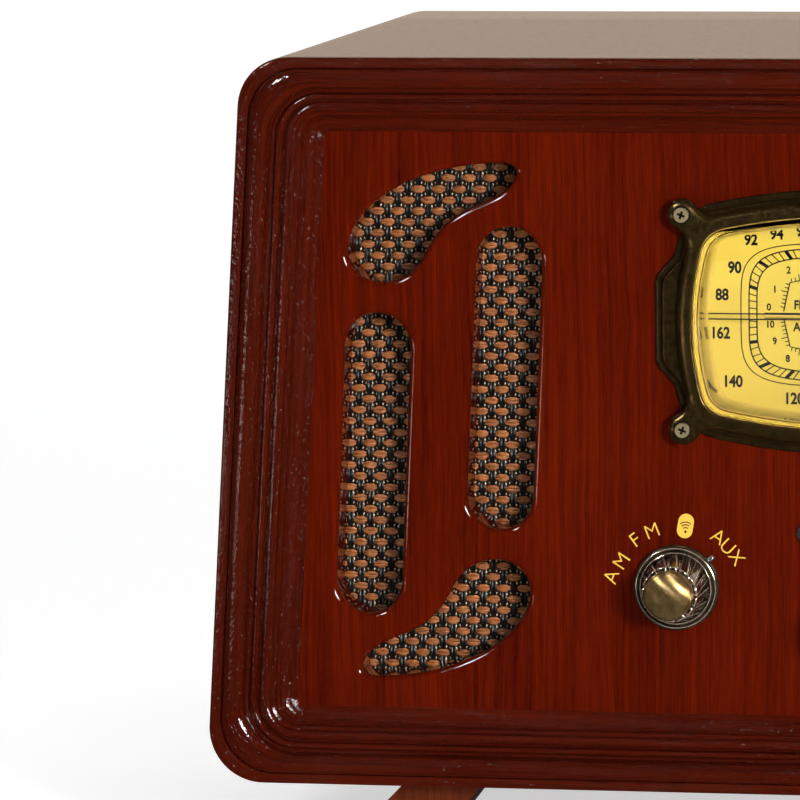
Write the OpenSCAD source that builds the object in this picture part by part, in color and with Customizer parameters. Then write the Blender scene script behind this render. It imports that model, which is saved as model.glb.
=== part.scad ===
// Tabletop radio: wooden cabinet with a moulded front, analogue dial, two loudspeakers and three knobs.
// Millimetres, +Z up, the front faces -Y, and the origin is on the table under the middle of the radio.

/* [Cabinet] */
// Width of the cabinet at half its height
cabinet_w = 419; // [348:1:502]
// Height of the cabinet without its legs
cabinet_h = 242; // [201:1:292]
// Depth from the crown of the moulding to the back of the rear panel
cabinet_d = 250; // [206:1:302]
// Lean of each side towards the middle, in degrees
side_lean = 3.4; // [0:0.1:5]
// Thickness of the cabinet's walls
wall = 12; // [10:0.5:14.5]
// Radius of the two upper outside corners
corner_top = 17; // [14:0.5:20]
// Radius of the two lower outside corners
corner_bottom = 18; // [13:0.5:22]
// Thickness of the rear panel
rear_t = 4; // [3:0.5:5]

/* [Front] */
// Width of the moulding above and below the front panel
moulding_w = 25; // [23:0.5:30]
// Width of the moulding at each side of the front panel
moulding_side_w = 28.1; // [26:0.1:32]
// Depth of the front panel behind the moulding's crown
panel_set_back = 12; // [10:0.5:14]
// Thickness of the front panel
panel_t = 14; // [11:0.5:17]
// Distance from the panel's side edge to the middle of the grille
grille_inset = 42.8; // [41:0.2:50]
// Distance from the grille to the panel's upper and lower edges
grille_margin = 10.5; // [8:0.5:20]
// Thickness of the grille cloth
cloth_t = 1; // [0.6:0.1:1.5]

/* [Dial] */
// Width of the dial's lens
lens_w = 105; // [96:0.5:112]
// Height of the dial's lens
lens_h = 70; // [64:0.5:74]
// Thickness of the lens's wall
lens_wall = 2; // [1.5:0.1:2.5]
// How far the lens stands in front of the panel
lens_proud = 9.5; // [8:0.5:12]
// Depth from the panel's front to the printed scale
scale_depth = 21; // [19:0.5:24]
// Sideways distance between the bezel's screws
bezel_screw_dx = 111.4; // [108:0.2:118]
// Upright distance between the bezel's screws
bezel_screw_dz = 70.7; // [66:0.2:76]
// Width of the dial pointer's bar
pointer_w = 3; // [2:0.1:4]

/* [Knobs] */
// Diameter of each knob's base ring
knob_d = 28.3; // [23.5:0.1:34]
// How far each knob stands in front of the panel
knob_reach = 24; // [20:0.5:28]
// Diameter of the control shafts
shaft_d = 6; // [5:0.5:7.2]
// Sideways distance from the middle to the two outer knobs
knob_dx = 58.9; // [52:0.1:68]
// Radial running clearance of every shaft in its bush
run_gap = 0.05; // [0.03:0.01:0.08]

/* [Sound] */
// Diameter of each loudspeaker's basket
speaker_d = 90; // [75:1:100]
// Travel of the cone each way
cone_travel = 1.5; // [0.5:0.1:2]

/* [Legs] */
// Height of the cabinet above the table
leg_h = 30; // [25:1:36]
// Thickness of the pad under each leg
pad_t = 3; // [2:0.5:4]

/* [Hidden] */
$fn = 96;

// Fasteners
screw_d = 3;
head_d = 5.4;
head_t = 1.8;
bezel_thread = 6;
panel_thread = 5;
rear_thread = 12;

// Layout from front to back, measured from the crown of the moulding
panel_front = panel_set_back;
panel_back = panel_front + panel_t;
knob_front = panel_front - knob_reach;
shell_front = panel_front + 2;
shell_back = cabinet_d - rear_t;
speaker_front = panel_back + cloth_t;
scale_front = panel_front + scale_depth;
y_middle = (cabinet_d + head_t + knob_front) / 2;

// Layout on the face
cabinet_top = leg_h + cabinet_h;
face_z = leg_h + cabinet_h / 2;
inside_z = leg_h + wall;
panel_h = cabinet_h - 2 * moulding_w;
panel_half_w = cabinet_w / 2 - moulding_side_w / cos(side_lean);
dial_z = leg_h + cabinet_h * 0.6426;
knob_z = leg_h + cabinet_h * 0.2777;
tuning_z = leg_h + cabinet_h * 0.2372;
indicator_z = leg_h + cabinet_h * 0.3537;
indicator_dx = 15.6;
grille_scale = (panel_h - 2 * grille_margin) / 171;
grille_x = panel_half_w - grille_inset;

// Dial
lens_corner = 9;
bezel_gap = 0.2;
bezel_base_t = 3.5;
bezel_t = 3.5;
bezel_front = panel_front - bezel_base_t - bezel_t;
lens_front = panel_front - lens_proud;
lens_flange = 4;
lens_flange_t = 2;
scale_t = 1.2;
light_rim = 9;
light_back = scale_front + 19;
light_floor = 2;
lug_x = lens_w / 2 + 8;
lug_z = lens_h / 2 + 5.5;
lug_r = 5;
pointer_t = 1.5;
pointer_front = scale_front - 4;
pointer_len = lens_h - 2 * lens_wall - 2;
hub_d = 8;
arbor_d = 3;

// Tuning drive
drum_d = 60;
drum_y = light_back + 6.5;
drum_t = 5;
pulley_d = 13;
groove = 1.5;
cord_d = 1;
cord_gap = 0.3;
bracket_y = light_back + 14;
bracket_t = 1.5;
post_x = 38;
post_z = 30;
post_d = 8;
tuner_w = 30;
tuner_t = 20;

// Controls
shaft_front = knob_front + 4;
skirt_front = knob_front + 6.5;
base_back = panel_front - 0.5;
base_front = base_back - 2.7;
nut_bore_d = 18;
nut_bore_t = 4;
bush_d = shaft_d + 3.5;
control_front = speaker_front + 1;
control_w = 24;
control_t = 14;
mode_angle = 40;

// Loudspeakers, with room kept between them and the light box's lugs
speaker_r = speaker_d / 2;
speaker_x = max(grille_x, lug_x + lug_r + speaker_r + 1.5);
speaker_screw_r = speaker_r - 3.2;
flange_t = 2;
rim_r = speaker_r - 6.5;
shelf_r = rim_r - 3;
shelf_y = 4;
roll_r = 3;
surround_t = 1;
surround_gap = 0.3;
cone_r = shelf_r - 2 * roll_r - surround_gap;
basket_depth = 34;
basket_back_r = 24;
magnet_r = 27;
magnet_t = 16;
coil_r = 11;
coil_t = 0.8;

// Boards and rear fittings
board_w = 150;
board_d = 96;
board_t = 1.6;
board_x = -70;
board_lift = 8;
board_back = shell_back - 28;
transformer_x = 95;
rod_d = 10;
rod_len = 120;
socket_z = leg_h + wall + 34;
inlet_x = 150;
rocker_x = 118;
jack_x = -150;
aerial_x = -122;
rocker_tilt = 8;

// Legs: slabs that splay outwards and widen towards the foot
leg_top_w = 26;
leg_outer_splay = 43.7;
leg_inner_splay = 37.5;
leg_toe = 3;
leg_top_x = 125;
leg_d = 40;
leg_inset_front = 18;
leg_inset_back = 16;
leg_screw_x = leg_top_x + 16;
leg_thread = 12;
leg_back_y = cabinet_d - leg_inset_back - leg_d;

// ---------- helpers ----------

// Half the cabinet's width at height z, moved in by inset at right angles to the leaning side
function half_w(z, inset = 0) =
    cabinet_w / 2 + (face_z - z) * tan(side_lean) - inset / cos(side_lean);

function arc_points(cx, cz, r, a0, a1, n) =
    [for (i = [0 : n]) let (a = a0 + (a1 - a0) * i / n) [cx + r * cos(a), cz + r * sin(a)]];

// Round-cornered trapezoid of the face, moved in by inset, with its own upper and lower corner radii;
// the sides move in further, as the moulding is wider there
function face_points(inset, r_top, r_bottom, n = 12) =
    let (zt = cabinet_top - inset - r_top, zb = leg_h + inset + r_bottom,
        side = inset * moulding_side_w / moulding_w,
        xt = half_w(zt, side + r_top), xb = half_w(zb, side + r_bottom),
        right = concat(arc_points(xb, zb, r_bottom, -90, side_lean, n),
            arc_points(xt, zt, r_top, side_lean, 90, n)))
    concat(right, [for (i = [len(right) - 1 : -1 : 0]) [-right[i][0], right[i][1]]]);

function bezier(p, n = 8) =
    [for (i = [0 : n - 1]) let (t = i / n, s = 1 - t)
        s * s * s * p[0] + 3 * s * s * t * p[1] + 3 * s * t * t * p[2] + t * t * t * p[3]];

// Moves a piece drawn from the moulding's crown into the part's frame
module face_frame() translate([0, -y_middle, 0]) children();

// Drawing on the face, X across and Y up, made solid from y0 back to y1
module slab(y0, y1) translate([0, y1, 0]) rotate([90, 0, 0]) linear_extrude(y1 - y0) children();

// Profile of radius and depth turned about the Y axis through x, z
module turned(x, z) translate([x, 0, z]) rotate([-90, 0, 0]) rotate_extrude() children();

module rod_y(x, z, y0, y1, d) translate([x, y0, z]) rotate([-90, 0, 0]) cylinder(h = y1 - y0, d = d);

module tube_y(x, z, y0, y1, d_out, d_in) slab(y0, y1) translate([x, z]) difference() {
    circle(d = d_out);
    circle(d = d_in);
}

module block(x, y, z) translate([x[0], y[0], z[0]]) cube([x[1] - x[0], y[1] - y[0], z[1] - z[0]]);

module mirrored_pair() for (side = [-1, 1]) scale_x(side) children();

module scale_x(side) if (side < 0) mirror([1, 0, 0]) children(); else children();

// Screw with a flat-bottomed round head and a cross recess, its head to the front at y
module face_screw(x, z, y, length, d = screw_d, head = head_d) difference() {
    union() {
        rod_y(x, z, y - head_t, y, head);
        rod_y(x, z, y, y + length, d);
    }
    for (a = [0, 90]) translate([x, y - head_t, z]) rotate([0, a + 20, 0])
        cube([head * 0.56, 2, 0.8], center = true);
}

// The same screw turned round, its head to the back at y
module rear_screw(x, z, y, length, head = head_d) translate([0, 2 * y, 0]) mirror([0, 1, 0])
    face_screw(x, z, y, length, screw_d, head);

// ---------- outlines ----------

// Screen shape with bowed sides and round corners; size is that of the lens plus grow all round
module screen(grow = 0) {
    w = lens_w / 2 + grow;
    h = lens_h / 2 + grow;
    side_r = 92 + grow;
    top_r = 205 + grow;
    r = lens_corner + grow * 0.6;
    translate([0, dial_z]) offset(r = r) offset(delta = -r) intersection() {
        translate([side_r - w, 0]) circle(r = side_r, $fn = 240);
        translate([w - side_r, 0]) circle(r = side_r, $fn = 240);
        translate([0, top_r - h]) circle(r = top_r, $fn = 360);
        translate([0, h - top_r]) circle(r = top_r, $fn = 360);
    }
}

// One leaf-shaped opening of the grille, drawn about the grille's middle
module leaf() polygon(concat(
    bezier([[-30.3, 56.4], [-30.3, 70.5], [-8, 85.5], [21.5, 85.7]], 12),
    bezier([[21.5, 85.7], [26.8, 86.3], [29.6, 82.2], [23.1, 77]], 6),
    bezier([[23.1, 77], [14.5, 69.8], [3.5, 73], [-5, 54]], 12),
    bezier([[-5, 54], [-8.2, 48.8], [-13, 46], [-19, 46]], 5),
    bezier([[-19, 46], [-26, 46], [-30.3, 51], [-30.3, 56.4]], 6)));

// One long round-ended slot of the grille
module long_slot() translate([22.2, 14.4]) rotate(-2.6) {
    square([22, 78.4], center = true);
    for (end = [-1, 1]) translate([0, end * 39.2]) circle(d = 22);
}

module grille_openings() translate([-grille_x, face_z]) scale([grille_scale, grille_scale]) {
    for (turn = [0, 180]) rotate(turn) {
        leaf();
        long_slot();
    }
}

module cloth_outline() translate([-grille_x - 38 * grille_scale, face_z - 90 * grille_scale])
    square([76 * grille_scale, 180 * grille_scale]);

// ---------- cabinet ----------

module cabinet_shell() color("#7a2413") face_frame() difference() {
    slab(shell_front, shell_back) difference() {
        polygon(face_points(0, corner_top, corner_bottom, 16));
        polygon(face_points(wall, 4, 6, 6));
    }
    for (p = rear_screw_places) rod_y(p[0], p[1], shell_back - rear_thread, shell_back + 1, screw_d);
    for (x = leg_screw_places_x, y = leg_screw_places_y)
        translate([x, y, leg_h - 1]) cylinder(h = wall + 2, d = screw_d + 1);
}

// Moulding profile: distance in from the outer edge, depth behind the crown, upper corner radius
function bead(w0, w1, y_base, y_crown, n) = [for (i = [0 : n]) let (a = 180 * i / n)
    [(w0 + w1) / 2 - (w1 - w0) / 2 * cos(a), y_base - (y_base - y_crown) * sin(a)]];
moulding_profile = concat(
    [[0, shell_front], [0, 3.4], [0.7, 2.6], [3.3, 2.6]],
    bead(3.6, 10.2, 3.4, 0, 10), [[10.5, 4.6], [11.5, 4.6]],
    bead(11.8, 13.9, 4.2, 2.8, 5), [[14.2, 4.7]],
    bead(14.6, 17.8, 4.6, 3.2, 5), [[18, 5.4], [18.8, 5.8]],
    [for (a = [0 : 15 : 75]) [moulding_w - 0.4 - (moulding_w - 19.4) * cos(a),
        panel_front - 1 - (panel_front - 7) * (1 - sin(a))]],
    [[moulding_w, panel_front], [wall + 0.2, panel_front], [wall + 0.2, shell_front]]);

function ring_radius(w, r) = w < 10 ? r : max(1.2, r - (w - 10) * (r - 2) / (moulding_w - 10));
moulding_steps = 7;

module front_frame() color("#7e2614") face_frame() {
    rings = [for (p = moulding_profile) [for (q = face_points(p[0],
        ring_radius(p[0], corner_top), ring_radius(p[0], corner_bottom), moulding_steps))
            [q[0], p[1], q[1]]]];
    count = len(rings);
    around = len(rings[0]);
    polyhedron(points = [for (r = rings) each r],
        faces = [for (j = [0 : count - 1], i = [0 : around - 1])
            let (k = (j + 1) % count, m = (i + 1) % around)
            [j * around + i, j * around + m, k * around + m, k * around + i]], convexity = 8);
}

module front_panel() color("#86290f") face_frame() difference() {
    slab(panel_front, panel_back) difference() {
        polygon(face_points(wall + 0.3, ring_radius(wall + 0.2, corner_top),
            ring_radius(wall + 0.2, corner_bottom), moulding_steps));
        mirrored_pair() grille_openings();
        screen(bezel_gap);
    }
    for (c = controls) {
        rod_y(c[0], c[1], panel_front - 1, panel_front + nut_bore_t, nut_bore_d);
        rod_y(c[0], c[1], panel_front, panel_back + 1, bush_d + 0.2);
    }
    for (side = [-1, 1]) rod_y(side * indicator_dx, indicator_z, panel_front - 1, panel_back + 1, 5.8);
    for (p = bezel_screw_places) rod_y(p[0], p[1], panel_front - 1, panel_front + bezel_thread, screw_d);
    for (p = concat(speaker_screw_places, lug_places))
        rod_y(p[0], p[1], panel_back - panel_thread, panel_back + 1, screw_d);
}

rear_inset = 3;
vent_w = 5;
rear_screw_places = [for (side = [-1, 1], z = [leg_h + wall / 2 + 6, face_z, cabinet_top - wall / 2 - 6])
    [side * half_w(z, wall / 2), z]];

module rear_panel() color("#2b2320") face_frame() difference() {
    slab(shell_back, cabinet_d) difference() {
        polygon(face_points(rear_inset, corner_top - rear_inset, corner_bottom - rear_inset, 12));
        for (side = [-1, 1], i = [-4 : 4])
            translate([side * 95 + i * 12 - vent_w / 2, cabinet_top - 85]) square([vent_w, 42]);
        translate([inlet_x, socket_z]) square([24, 16], center = true);
        translate([rocker_x, socket_z]) square([20, 14], center = true);
        translate([jack_x, socket_z]) circle(d = 8);
        translate([aerial_x, socket_z]) circle(d = 10);
        for (p = rear_screw_places) translate(p) circle(d = screw_d + 0.4);
    }
}

module rear_panel_screws() color("#3a3a3c") face_frame() for (p = rear_screw_places)
    rear_screw(p[0], p[1], cabinet_d, rear_thread + rear_t);

// ---------- grille and loudspeakers ----------

// The loudspeakers' screws enter the strip of panel between the two slots
speaker_screw_places = [for (side = [-1, 1], a = [80, 100, 260, 280])
    [side * speaker_x + speaker_screw_r * cos(a), face_z + speaker_screw_r * sin(a)]];

module grille_cloth(side) color("#33261d") face_frame() slab(panel_back, speaker_front) difference() {
    scale_x(-side) cloth_outline();
    for (p = speaker_screw_places) translate(p) circle(d = screw_d + 1);
}
module grille_cloth_left() grille_cloth(-1);
module grille_cloth_right() grille_cloth(1);

cone_front = speaker_front + 4.5;
basket_back = speaker_front + flange_t + basket_depth;

module speaker_basket(side) color("#1d1d1f") face_frame() difference() {
    turned(side * speaker_x, face_z) polygon([
        [rim_r, speaker_front], [speaker_r, speaker_front],
        [speaker_r, speaker_front + flange_t], [rim_r + 0.8, speaker_front + flange_t],
        [rim_r + 0.8, speaker_front + shelf_y + 1],
        [basket_back_r + 1.2, basket_back - 1.2], [basket_back_r + 1.2, basket_back],
        [coil_r + 3, basket_back], [coil_r + 3, basket_back - 1.2], [basket_back_r, basket_back - 1.2],
        [shelf_r, speaker_front + shelf_y + 1.2], [shelf_r, speaker_front + shelf_y],
        [rim_r, speaker_front + shelf_y]]);
    for (p = speaker_screw_places) rod_y(p[0], p[1], speaker_front - 1, speaker_front + 4, screw_d + 0.2);
    for (a = [0 : 60 : 300]) translate([side * speaker_x, speaker_front + 12, face_z])
        rotate([0, a, 0]) translate([15, 0, -7]) cube([40, 18, 14]);
}
module speaker_basket_left() speaker_basket(-1);
module speaker_basket_right() speaker_basket(1);

// Ring magnet with its plates and pole, and the gap that the voice coil moves in
module speaker_magnet(side) color("#4a4a4e") face_frame() turned(side * speaker_x, face_z) polygon([
    [0, basket_back - 6], [coil_r - 1, basket_back - 6], [coil_r - 1, basket_back + magnet_t - 4],
    [coil_r + coil_t + 1, basket_back + magnet_t - 4], [coil_r + coil_t + 1, basket_back],
    [magnet_r - 2, basket_back], [magnet_r - 2, basket_back + 3], [magnet_r, basket_back + 3],
    [magnet_r, basket_back + magnet_t - 3], [magnet_r - 2, basket_back + magnet_t - 3],
    [magnet_r - 2, basket_back + magnet_t], [0, basket_back + magnet_t]]);
module speaker_magnet_left() speaker_magnet(-1);
module speaker_magnet_right() speaker_magnet(1);

// Half roll of rubber from the cone's edge to a flat rim on the basket's shelf
module speaker_surround(side) color("#151515") face_frame() turned(side * speaker_x, face_z) {
    translate([shelf_r, speaker_front + shelf_y]) difference() {
        union() {
            translate([-roll_r, 0]) circle(r = roll_r, $fn = 48);
            translate([-surround_t, -surround_t]) square([rim_r - shelf_r + surround_t - 0.1, surround_t]);
        }
        translate([-roll_r, 0]) circle(r = roll_r - surround_t, $fn = 48);
        translate([-2 * roll_r - 1, 0]) square([12, roll_r + 1]);
    }
}
module speaker_surround_left() speaker_surround(-1);
module speaker_surround_right() speaker_surround(1);

// Cone, dust cap and voice coil former in one moving piece
module speaker_cone(side) color("#2a2622") face_frame() turned(side * speaker_x, face_z) polygon([
    [0, cone_front + 10], [8, cone_front + 11.5], [coil_r + coil_t, cone_front + 15],
    [cone_r, cone_front], [cone_r, cone_front + 1.2], [coil_r + coil_t, cone_front + 17],
    [coil_r + coil_t, basket_back + 3], [coil_r, basket_back + 3], [coil_r, cone_front + 15.8],
    [7.5, cone_front + 12.7], [0, cone_front + 11.2]]);
module speaker_cone_left() speaker_cone(-1);
module speaker_cone_right() speaker_cone(1);

// Screws that hold the loudspeakers and the light box to the back of the panel
module panel_screws() color("#8c8c90") face_frame() {
    for (p = speaker_screw_places)
        rear_screw(p[0], p[1], speaker_front + flange_t, flange_t + cloth_t + panel_thread, 4.4);
    for (p = lug_places) rear_screw(p[0], p[1], light_back, light_back - panel_back + panel_thread, 4.6);
}

// ---------- dial ----------

bezel_screw_places = [for (sx = [-1, 1], sz = [-1, 1])
    [sx * bezel_screw_dx / 2, dial_z + sz * bezel_screw_dz / 2]];
lug_places = [for (sx = [-1, 1], sz = [-1, 1]) [sx * lug_x, dial_z + sz * lug_z]];

// Lower plate of the bezel, with a lobe at each side
module dial_bezel_base() color("#3b3126") face_frame() slab(panel_front - bezel_base_t, panel_front)
difference() {
    union() {
        screen(8.8);
        translate([0, dial_z]) mirrored_pair()
            polygon([[50, -22], [lens_w / 2 + 7, -21], [lens_w / 2 + 12.8, -14.6],
                [lens_w / 2 + 12.8, 14.6], [lens_w / 2 + 7, 21], [50, 22]]);
        for (p = bezel_screw_places) translate(p) circle(r = 4.4);
    }
    screen(bezel_gap);
    for (p = bezel_screw_places) translate(p) circle(d = screw_d + 0.4);
}

// Upper ring of the bezel, with an ear for a screw at each corner
module dial_bezel() color("#5a4a33") face_frame() slab(bezel_front, panel_front - bezel_base_t)
difference() {
    union() {
        offset(r = -6) offset(delta = 6) union() {
            screen(5);
            for (p = bezel_screw_places) translate(p) circle(r = 5.2);
        }
        for (p = bezel_screw_places) translate(p) circle(r = 5.2);
    }
    screen(bezel_gap);
    for (p = bezel_screw_places) translate(p) circle(d = screw_d + 0.4);
}

module bezel_screws() color("#a58a5a") face_frame() for (p = bezel_screw_places)
    face_screw(p[0], p[1], bezel_front, panel_front + bezel_thread - bezel_front, screw_d, 4.8);

// Clear cup that reaches from the bezel back to the scale, with a bar across it in front of the pointer
module dial_lens() color("#e8e4d8", 0.4) face_frame() {
    difference() {
        union() {
            slab(lens_front + 1.2, scale_front - 0.1) screen(0);
            slab(lens_front, lens_front + 1.2) screen(-1.2);
            slab(panel_back, panel_back + lens_flange_t) screen(lens_flange);
        }
        slab(lens_front + lens_wall, scale_front + 1) screen(-lens_wall);
    }
    block([1 - lens_w / 2, lens_w / 2 - 1], [pointer_front - 3.6, pointer_front - 2.6],
        [dial_z - 1, dial_z + 1]);
}

module dial_scale() color("#f2d25a") face_frame() slab(scale_front, scale_front + scale_t) difference() {
    screen(3);
    translate([0, dial_z]) circle(d = arbor_d + 2);
}

module dial_light_box() color("#efeae0") face_frame() difference() {
    slab(panel_back, light_back) {
        screen(light_rim);
        for (p = lug_places) translate(p) circle(r = lug_r);
    }
    slab(panel_back - 1, panel_back + lens_flange_t + 0.1) screen(lens_flange + 0.3);
    slab(panel_back, scale_front + scale_t) screen(3.2);
    slab(panel_back, light_back - light_floor) screen(-2);
    rod_y(0, dial_z, light_back - light_floor - 1, light_back + 1, arbor_d + 1);
    for (p = lug_places) rod_y(p[0], p[1], panel_back - 1, light_back + 1, screw_d + 0.4);
}

module dial_lamps() color("#fff2c8") face_frame() {
    for (x = [-36, -12, 12, 36], z = [-20, 20]) {
        rod_y(x, dial_z + z, light_back - light_floor - 3, light_back - light_floor, 5);
        translate([x, light_back - light_floor - 3, dial_z + z]) sphere(d = 4.4, $fn = 32);
    }
}

// Clear double-ended bar on a round hub, level at rest
module dial_pointer() color("#d8c890") face_frame() {
    slab(pointer_front, pointer_front + pointer_t) difference() {
        translate([0, dial_z]) {
            square([pointer_len, pointer_w], center = true);
            circle(d = hub_d);
        }
        translate([0, dial_z]) circle(d = arbor_d);
    }
    slab(pointer_front - 1, pointer_front) translate([0, dial_z]) circle(d = hub_d - 2);
}

module pointer_shaft() color("#b9b9bd") face_frame()
    rod_y(0, dial_z, pointer_front, bracket_y + tuner_t - 4, arbor_d);

module grooved_wheel(z, d, bore) turned(0, z) difference() {
    translate([bore / 2, drum_y - drum_t / 2]) square([(d - bore) / 2, drum_t]);
    translate([d / 2 - groove, drum_y - 1]) square([groove + 1, 2]);
}

module dial_drum() color("#d9d4c8") face_frame() difference() {
    grooved_wheel(dial_z, drum_d, arbor_d);
    for (a = [0 : 60 : 300]) translate([0, 0, dial_z]) rotate([0, a, 0])
        rod_y(16, 0, drum_y - drum_t, drum_y + drum_t, 9);
}

module drive_pulley() color("#d9d4c8") face_frame() grooved_wheel(tuning_z, pulley_d, shaft_d);

// Cord that runs round the drum and the pulley
module cord_loop(extra) hull() {
    translate([0, dial_z]) circle(r = drum_d / 2 - groove + cord_gap + extra);
    translate([0, tuning_z]) circle(r = pulley_d / 2 - groove + cord_gap + extra);
}
module drive_cord() color("#5a4632") face_frame() slab(drum_y - cord_d / 2, drum_y + cord_d / 2)
difference() {
    cord_loop(cord_d);
    cord_loop(0);
}

module tuner_bracket() color("#a9acb0") face_frame() {
    slab(bracket_y, bracket_y + bracket_t) difference() {
        union() {
            translate([0, dial_z]) square([2 * post_x + 12, 2 * post_z + 12], center = true);
            translate([-14, tuning_z - 12]) square([28, dial_z - tuning_z]);
        }
        translate([0, dial_z]) circle(d = arbor_d + 1);
        translate([0, tuning_z]) circle(d = shaft_d + 2 * run_gap);
    }
    for (sx = [-1, 1], sz = [-1, 1]) rod_y(sx * post_x, dial_z + sz * post_z, light_back, bracket_y, post_d);
}

module tuning_capacitor() color("#d7d7d2") face_frame() difference() {
    slab(bracket_y + bracket_t, bracket_y + bracket_t + tuner_t) translate([0, dial_z]) offset(r = 2)
        square(tuner_w - 4, center = true);
    rod_y(0, dial_z, bracket_y, bracket_y + tuner_t - 3, arbor_d + 2 * run_gap);
}

// ---------- knobs and controls ----------

controls = [[-knob_dx, knob_z], [0, tuning_z], [knob_dx, knob_z]];

module control_shaft(c, back) rod_y(c[0], c[1], shaft_front, back, shaft_d);

// Body of a rotary control with its threaded bush
module rotary_control(c) difference() {
    union() {
        slab(control_front, control_front + control_t) translate(c) offset(r = 2)
            square(control_w - 4, center = true);
        rod_y(c[0], c[1], panel_front + 0.6, control_front + 1, bush_d);
    }
    rod_y(c[0], c[1], panel_front, control_front + control_t - 2, shaft_d + 2 * run_gap);
}

module mode_switch() color("#2f4f3a") face_frame() rotary_control(controls[0]);
module volume_control() color("#8a8f96") face_frame() rotary_control(controls[2]);
module mode_shaft() color("#c8c8cc") face_frame()
    control_shaft(controls[0], control_front + control_t - 2.5);
module volume_shaft() color("#c8c8cc") face_frame()
    control_shaft(controls[2], control_front + control_t - 2.5);
module tuning_shaft() color("#c8c8cc") face_frame()
    control_shaft(controls[1], bracket_y + bracket_t + 4);

module tuning_bush() color("#b08d57") face_frame() {
    tube_y(controls[1][0], controls[1][1], panel_front + 0.6, panel_back + 2, bush_d, shaft_d + 2 * run_gap);
    tube_y(controls[1][0], controls[1][1], panel_back, panel_back + 2, bush_d + 6, bush_d);
}

module bush_nuts() color("#c8c8cc") face_frame() for (c = controls)
    slab(panel_front + nut_bore_t - 2.6, panel_front + nut_bore_t) translate(c) difference() {
        circle(d = bush_d + 5, $fn = 6);
        circle(d = bush_d);
    }

// Base ring of a knob: two rims, and a pointer pin at angle (none when angle is undef)
module knob_base(c, angle) {
    turned(c[0], c[1]) polygon([[shaft_d / 2, base_front], [knob_d / 2 - 3, base_front],
        [knob_d / 2 - 2.8, base_front - 0.7], [knob_d / 2 - 2.2, base_front - 0.7],
        [knob_d / 2 - 1.8, base_front + 0.3], [knob_d / 2 - 1.3, base_front - 0.2],
        [knob_d / 2 - 0.5, base_front], [knob_d / 2, base_front + 0.6],
        [knob_d / 2, base_back], [shaft_d / 2, base_back]]);
    if (!is_undef(angle)) translate([c[0], (base_front + base_back) / 2, c[1]]) rotate([0, -angle, 0])
        translate([knob_d / 2 - 2, 0, 0]) rotate([0, 90, 0]) cylinder(h = 4.6, d = 1.8);
}

// Crown-shaped skirt with slanting flutes
module knob_skirt(c) difference() {
    turned(c[0], c[1]) polygon([[shaft_d / 2, skirt_front], [knob_d / 2 - 5.1, skirt_front],
        [knob_d / 2 - 4.6, skirt_front + 0.8], [knob_d / 2 - 3.2, base_front - 1.6],
        [knob_d / 2 - 3.2, base_front], [shaft_d / 2, base_front]]);
    for (i = [0 : 15]) translate([c[0], 0, c[1]]) rotate([0, i * 22.5, 0])
        translate([knob_d / 2 - 1.9, skirt_front - 1, 0]) rotate([-90, 0, 0]) rotate([0, -11, 0])
            cylinder(h = base_front - skirt_front - 1, d = 3.2, $fn = 24);
}

module knob_cap(c) difference() {
    union() {
        rod_y(c[0], c[1], knob_front + 2.6, skirt_front, 16);
        intersection() {
            turned(c[0], c[1]) intersection() {
                translate([0, knob_front + 13.6]) circle(r = 13.6, $fn = 180);
                translate([0, knob_front - 1]) square([8, 3.7]);
            }
            rod_y(c[0], c[1], knob_front - 1, skirt_front, 16);
        }
    }
    rod_y(c[0], c[1], shaft_front, skirt_front + 1, shaft_d);
}

module mode_knob_base() color("#4c4236") face_frame() knob_base(controls[0], mode_angle);
module mode_knob_skirt() color("#2b2420") face_frame() knob_skirt(controls[0]);
module mode_knob_cap() color("#8f7340") face_frame() knob_cap(controls[0]);
module tuning_knob_base() color("#4c4236") face_frame() knob_base(controls[1], undef);
module tuning_knob_skirt() color("#2b2420") face_frame() knob_skirt(controls[1]);
module tuning_knob_cap() color("#8f7340") face_frame() knob_cap(controls[1]);
module volume_knob_base() color("#4c4236") face_frame() knob_base(controls[2], 225);
module volume_knob_skirt() color("#2b2420") face_frame() knob_skirt(controls[2]);
module volume_knob_cap() color("#8f7340") face_frame() knob_cap(controls[2]);

module indicator_rings() color("#c9c9cc") face_frame() for (side = [-1, 1])
    turned(side * indicator_dx, indicator_z) polygon([[2.2, panel_front - 1.4], [3.1, panel_front - 1.4],
        [3.5, panel_front - 1], [3.5, panel_front], [2.9, panel_front], [2.9, panel_front + 8],
        [2.2, panel_front + 8]]);

module indicator_lenses() color("#8d8f93") face_frame() for (side = [-1, 1])
    rod_y(side * indicator_dx, indicator_z, panel_front - 0.9, panel_front + 11, 4.4);

// ---------- inside ----------

board_z = inside_z + board_lift;
board_places = [for (sx = [-1, 1], sy = [0, 1])
    [board_x + sx * (board_w / 2 - 6), board_back - board_d + 6 + sy * (board_d - 12)]];

module main_board() color("#1f5a36") face_frame() {
    difference() {
        block([board_x - board_w / 2, board_x + board_w / 2], [board_back - board_d, board_back],
            [board_z, board_z + board_t]);
        for (p = board_places) translate([p[0], p[1], board_z - 1]) cylinder(h = 4, d = screw_d + 0.4);
    }
    top = board_z + board_t;
    for (i = [0 : 3]) translate([board_x - 60 + i * 12, board_back - 30, top]) cylinder(h = 14, d = 9);
    block([board_x - 14, board_x + 6], [board_back - 62, board_back - 42], [top, top + 2.5]);
    block([board_x + 34, board_x + 60], [board_back - 84, board_back - 66], [top, top + 3]);
}

module board_fixings() color("#c2a25a") face_frame() for (p = board_places) translate([p[0], p[1], 0]) {
    translate([0, 0, inside_z]) cylinder(h = board_lift, d = 6);
    translate([0, 0, board_z]) cylinder(h = board_t, d = screw_d);
    translate([0, 0, board_z + board_t]) cylinder(h = head_t, d = head_d);
}

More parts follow.
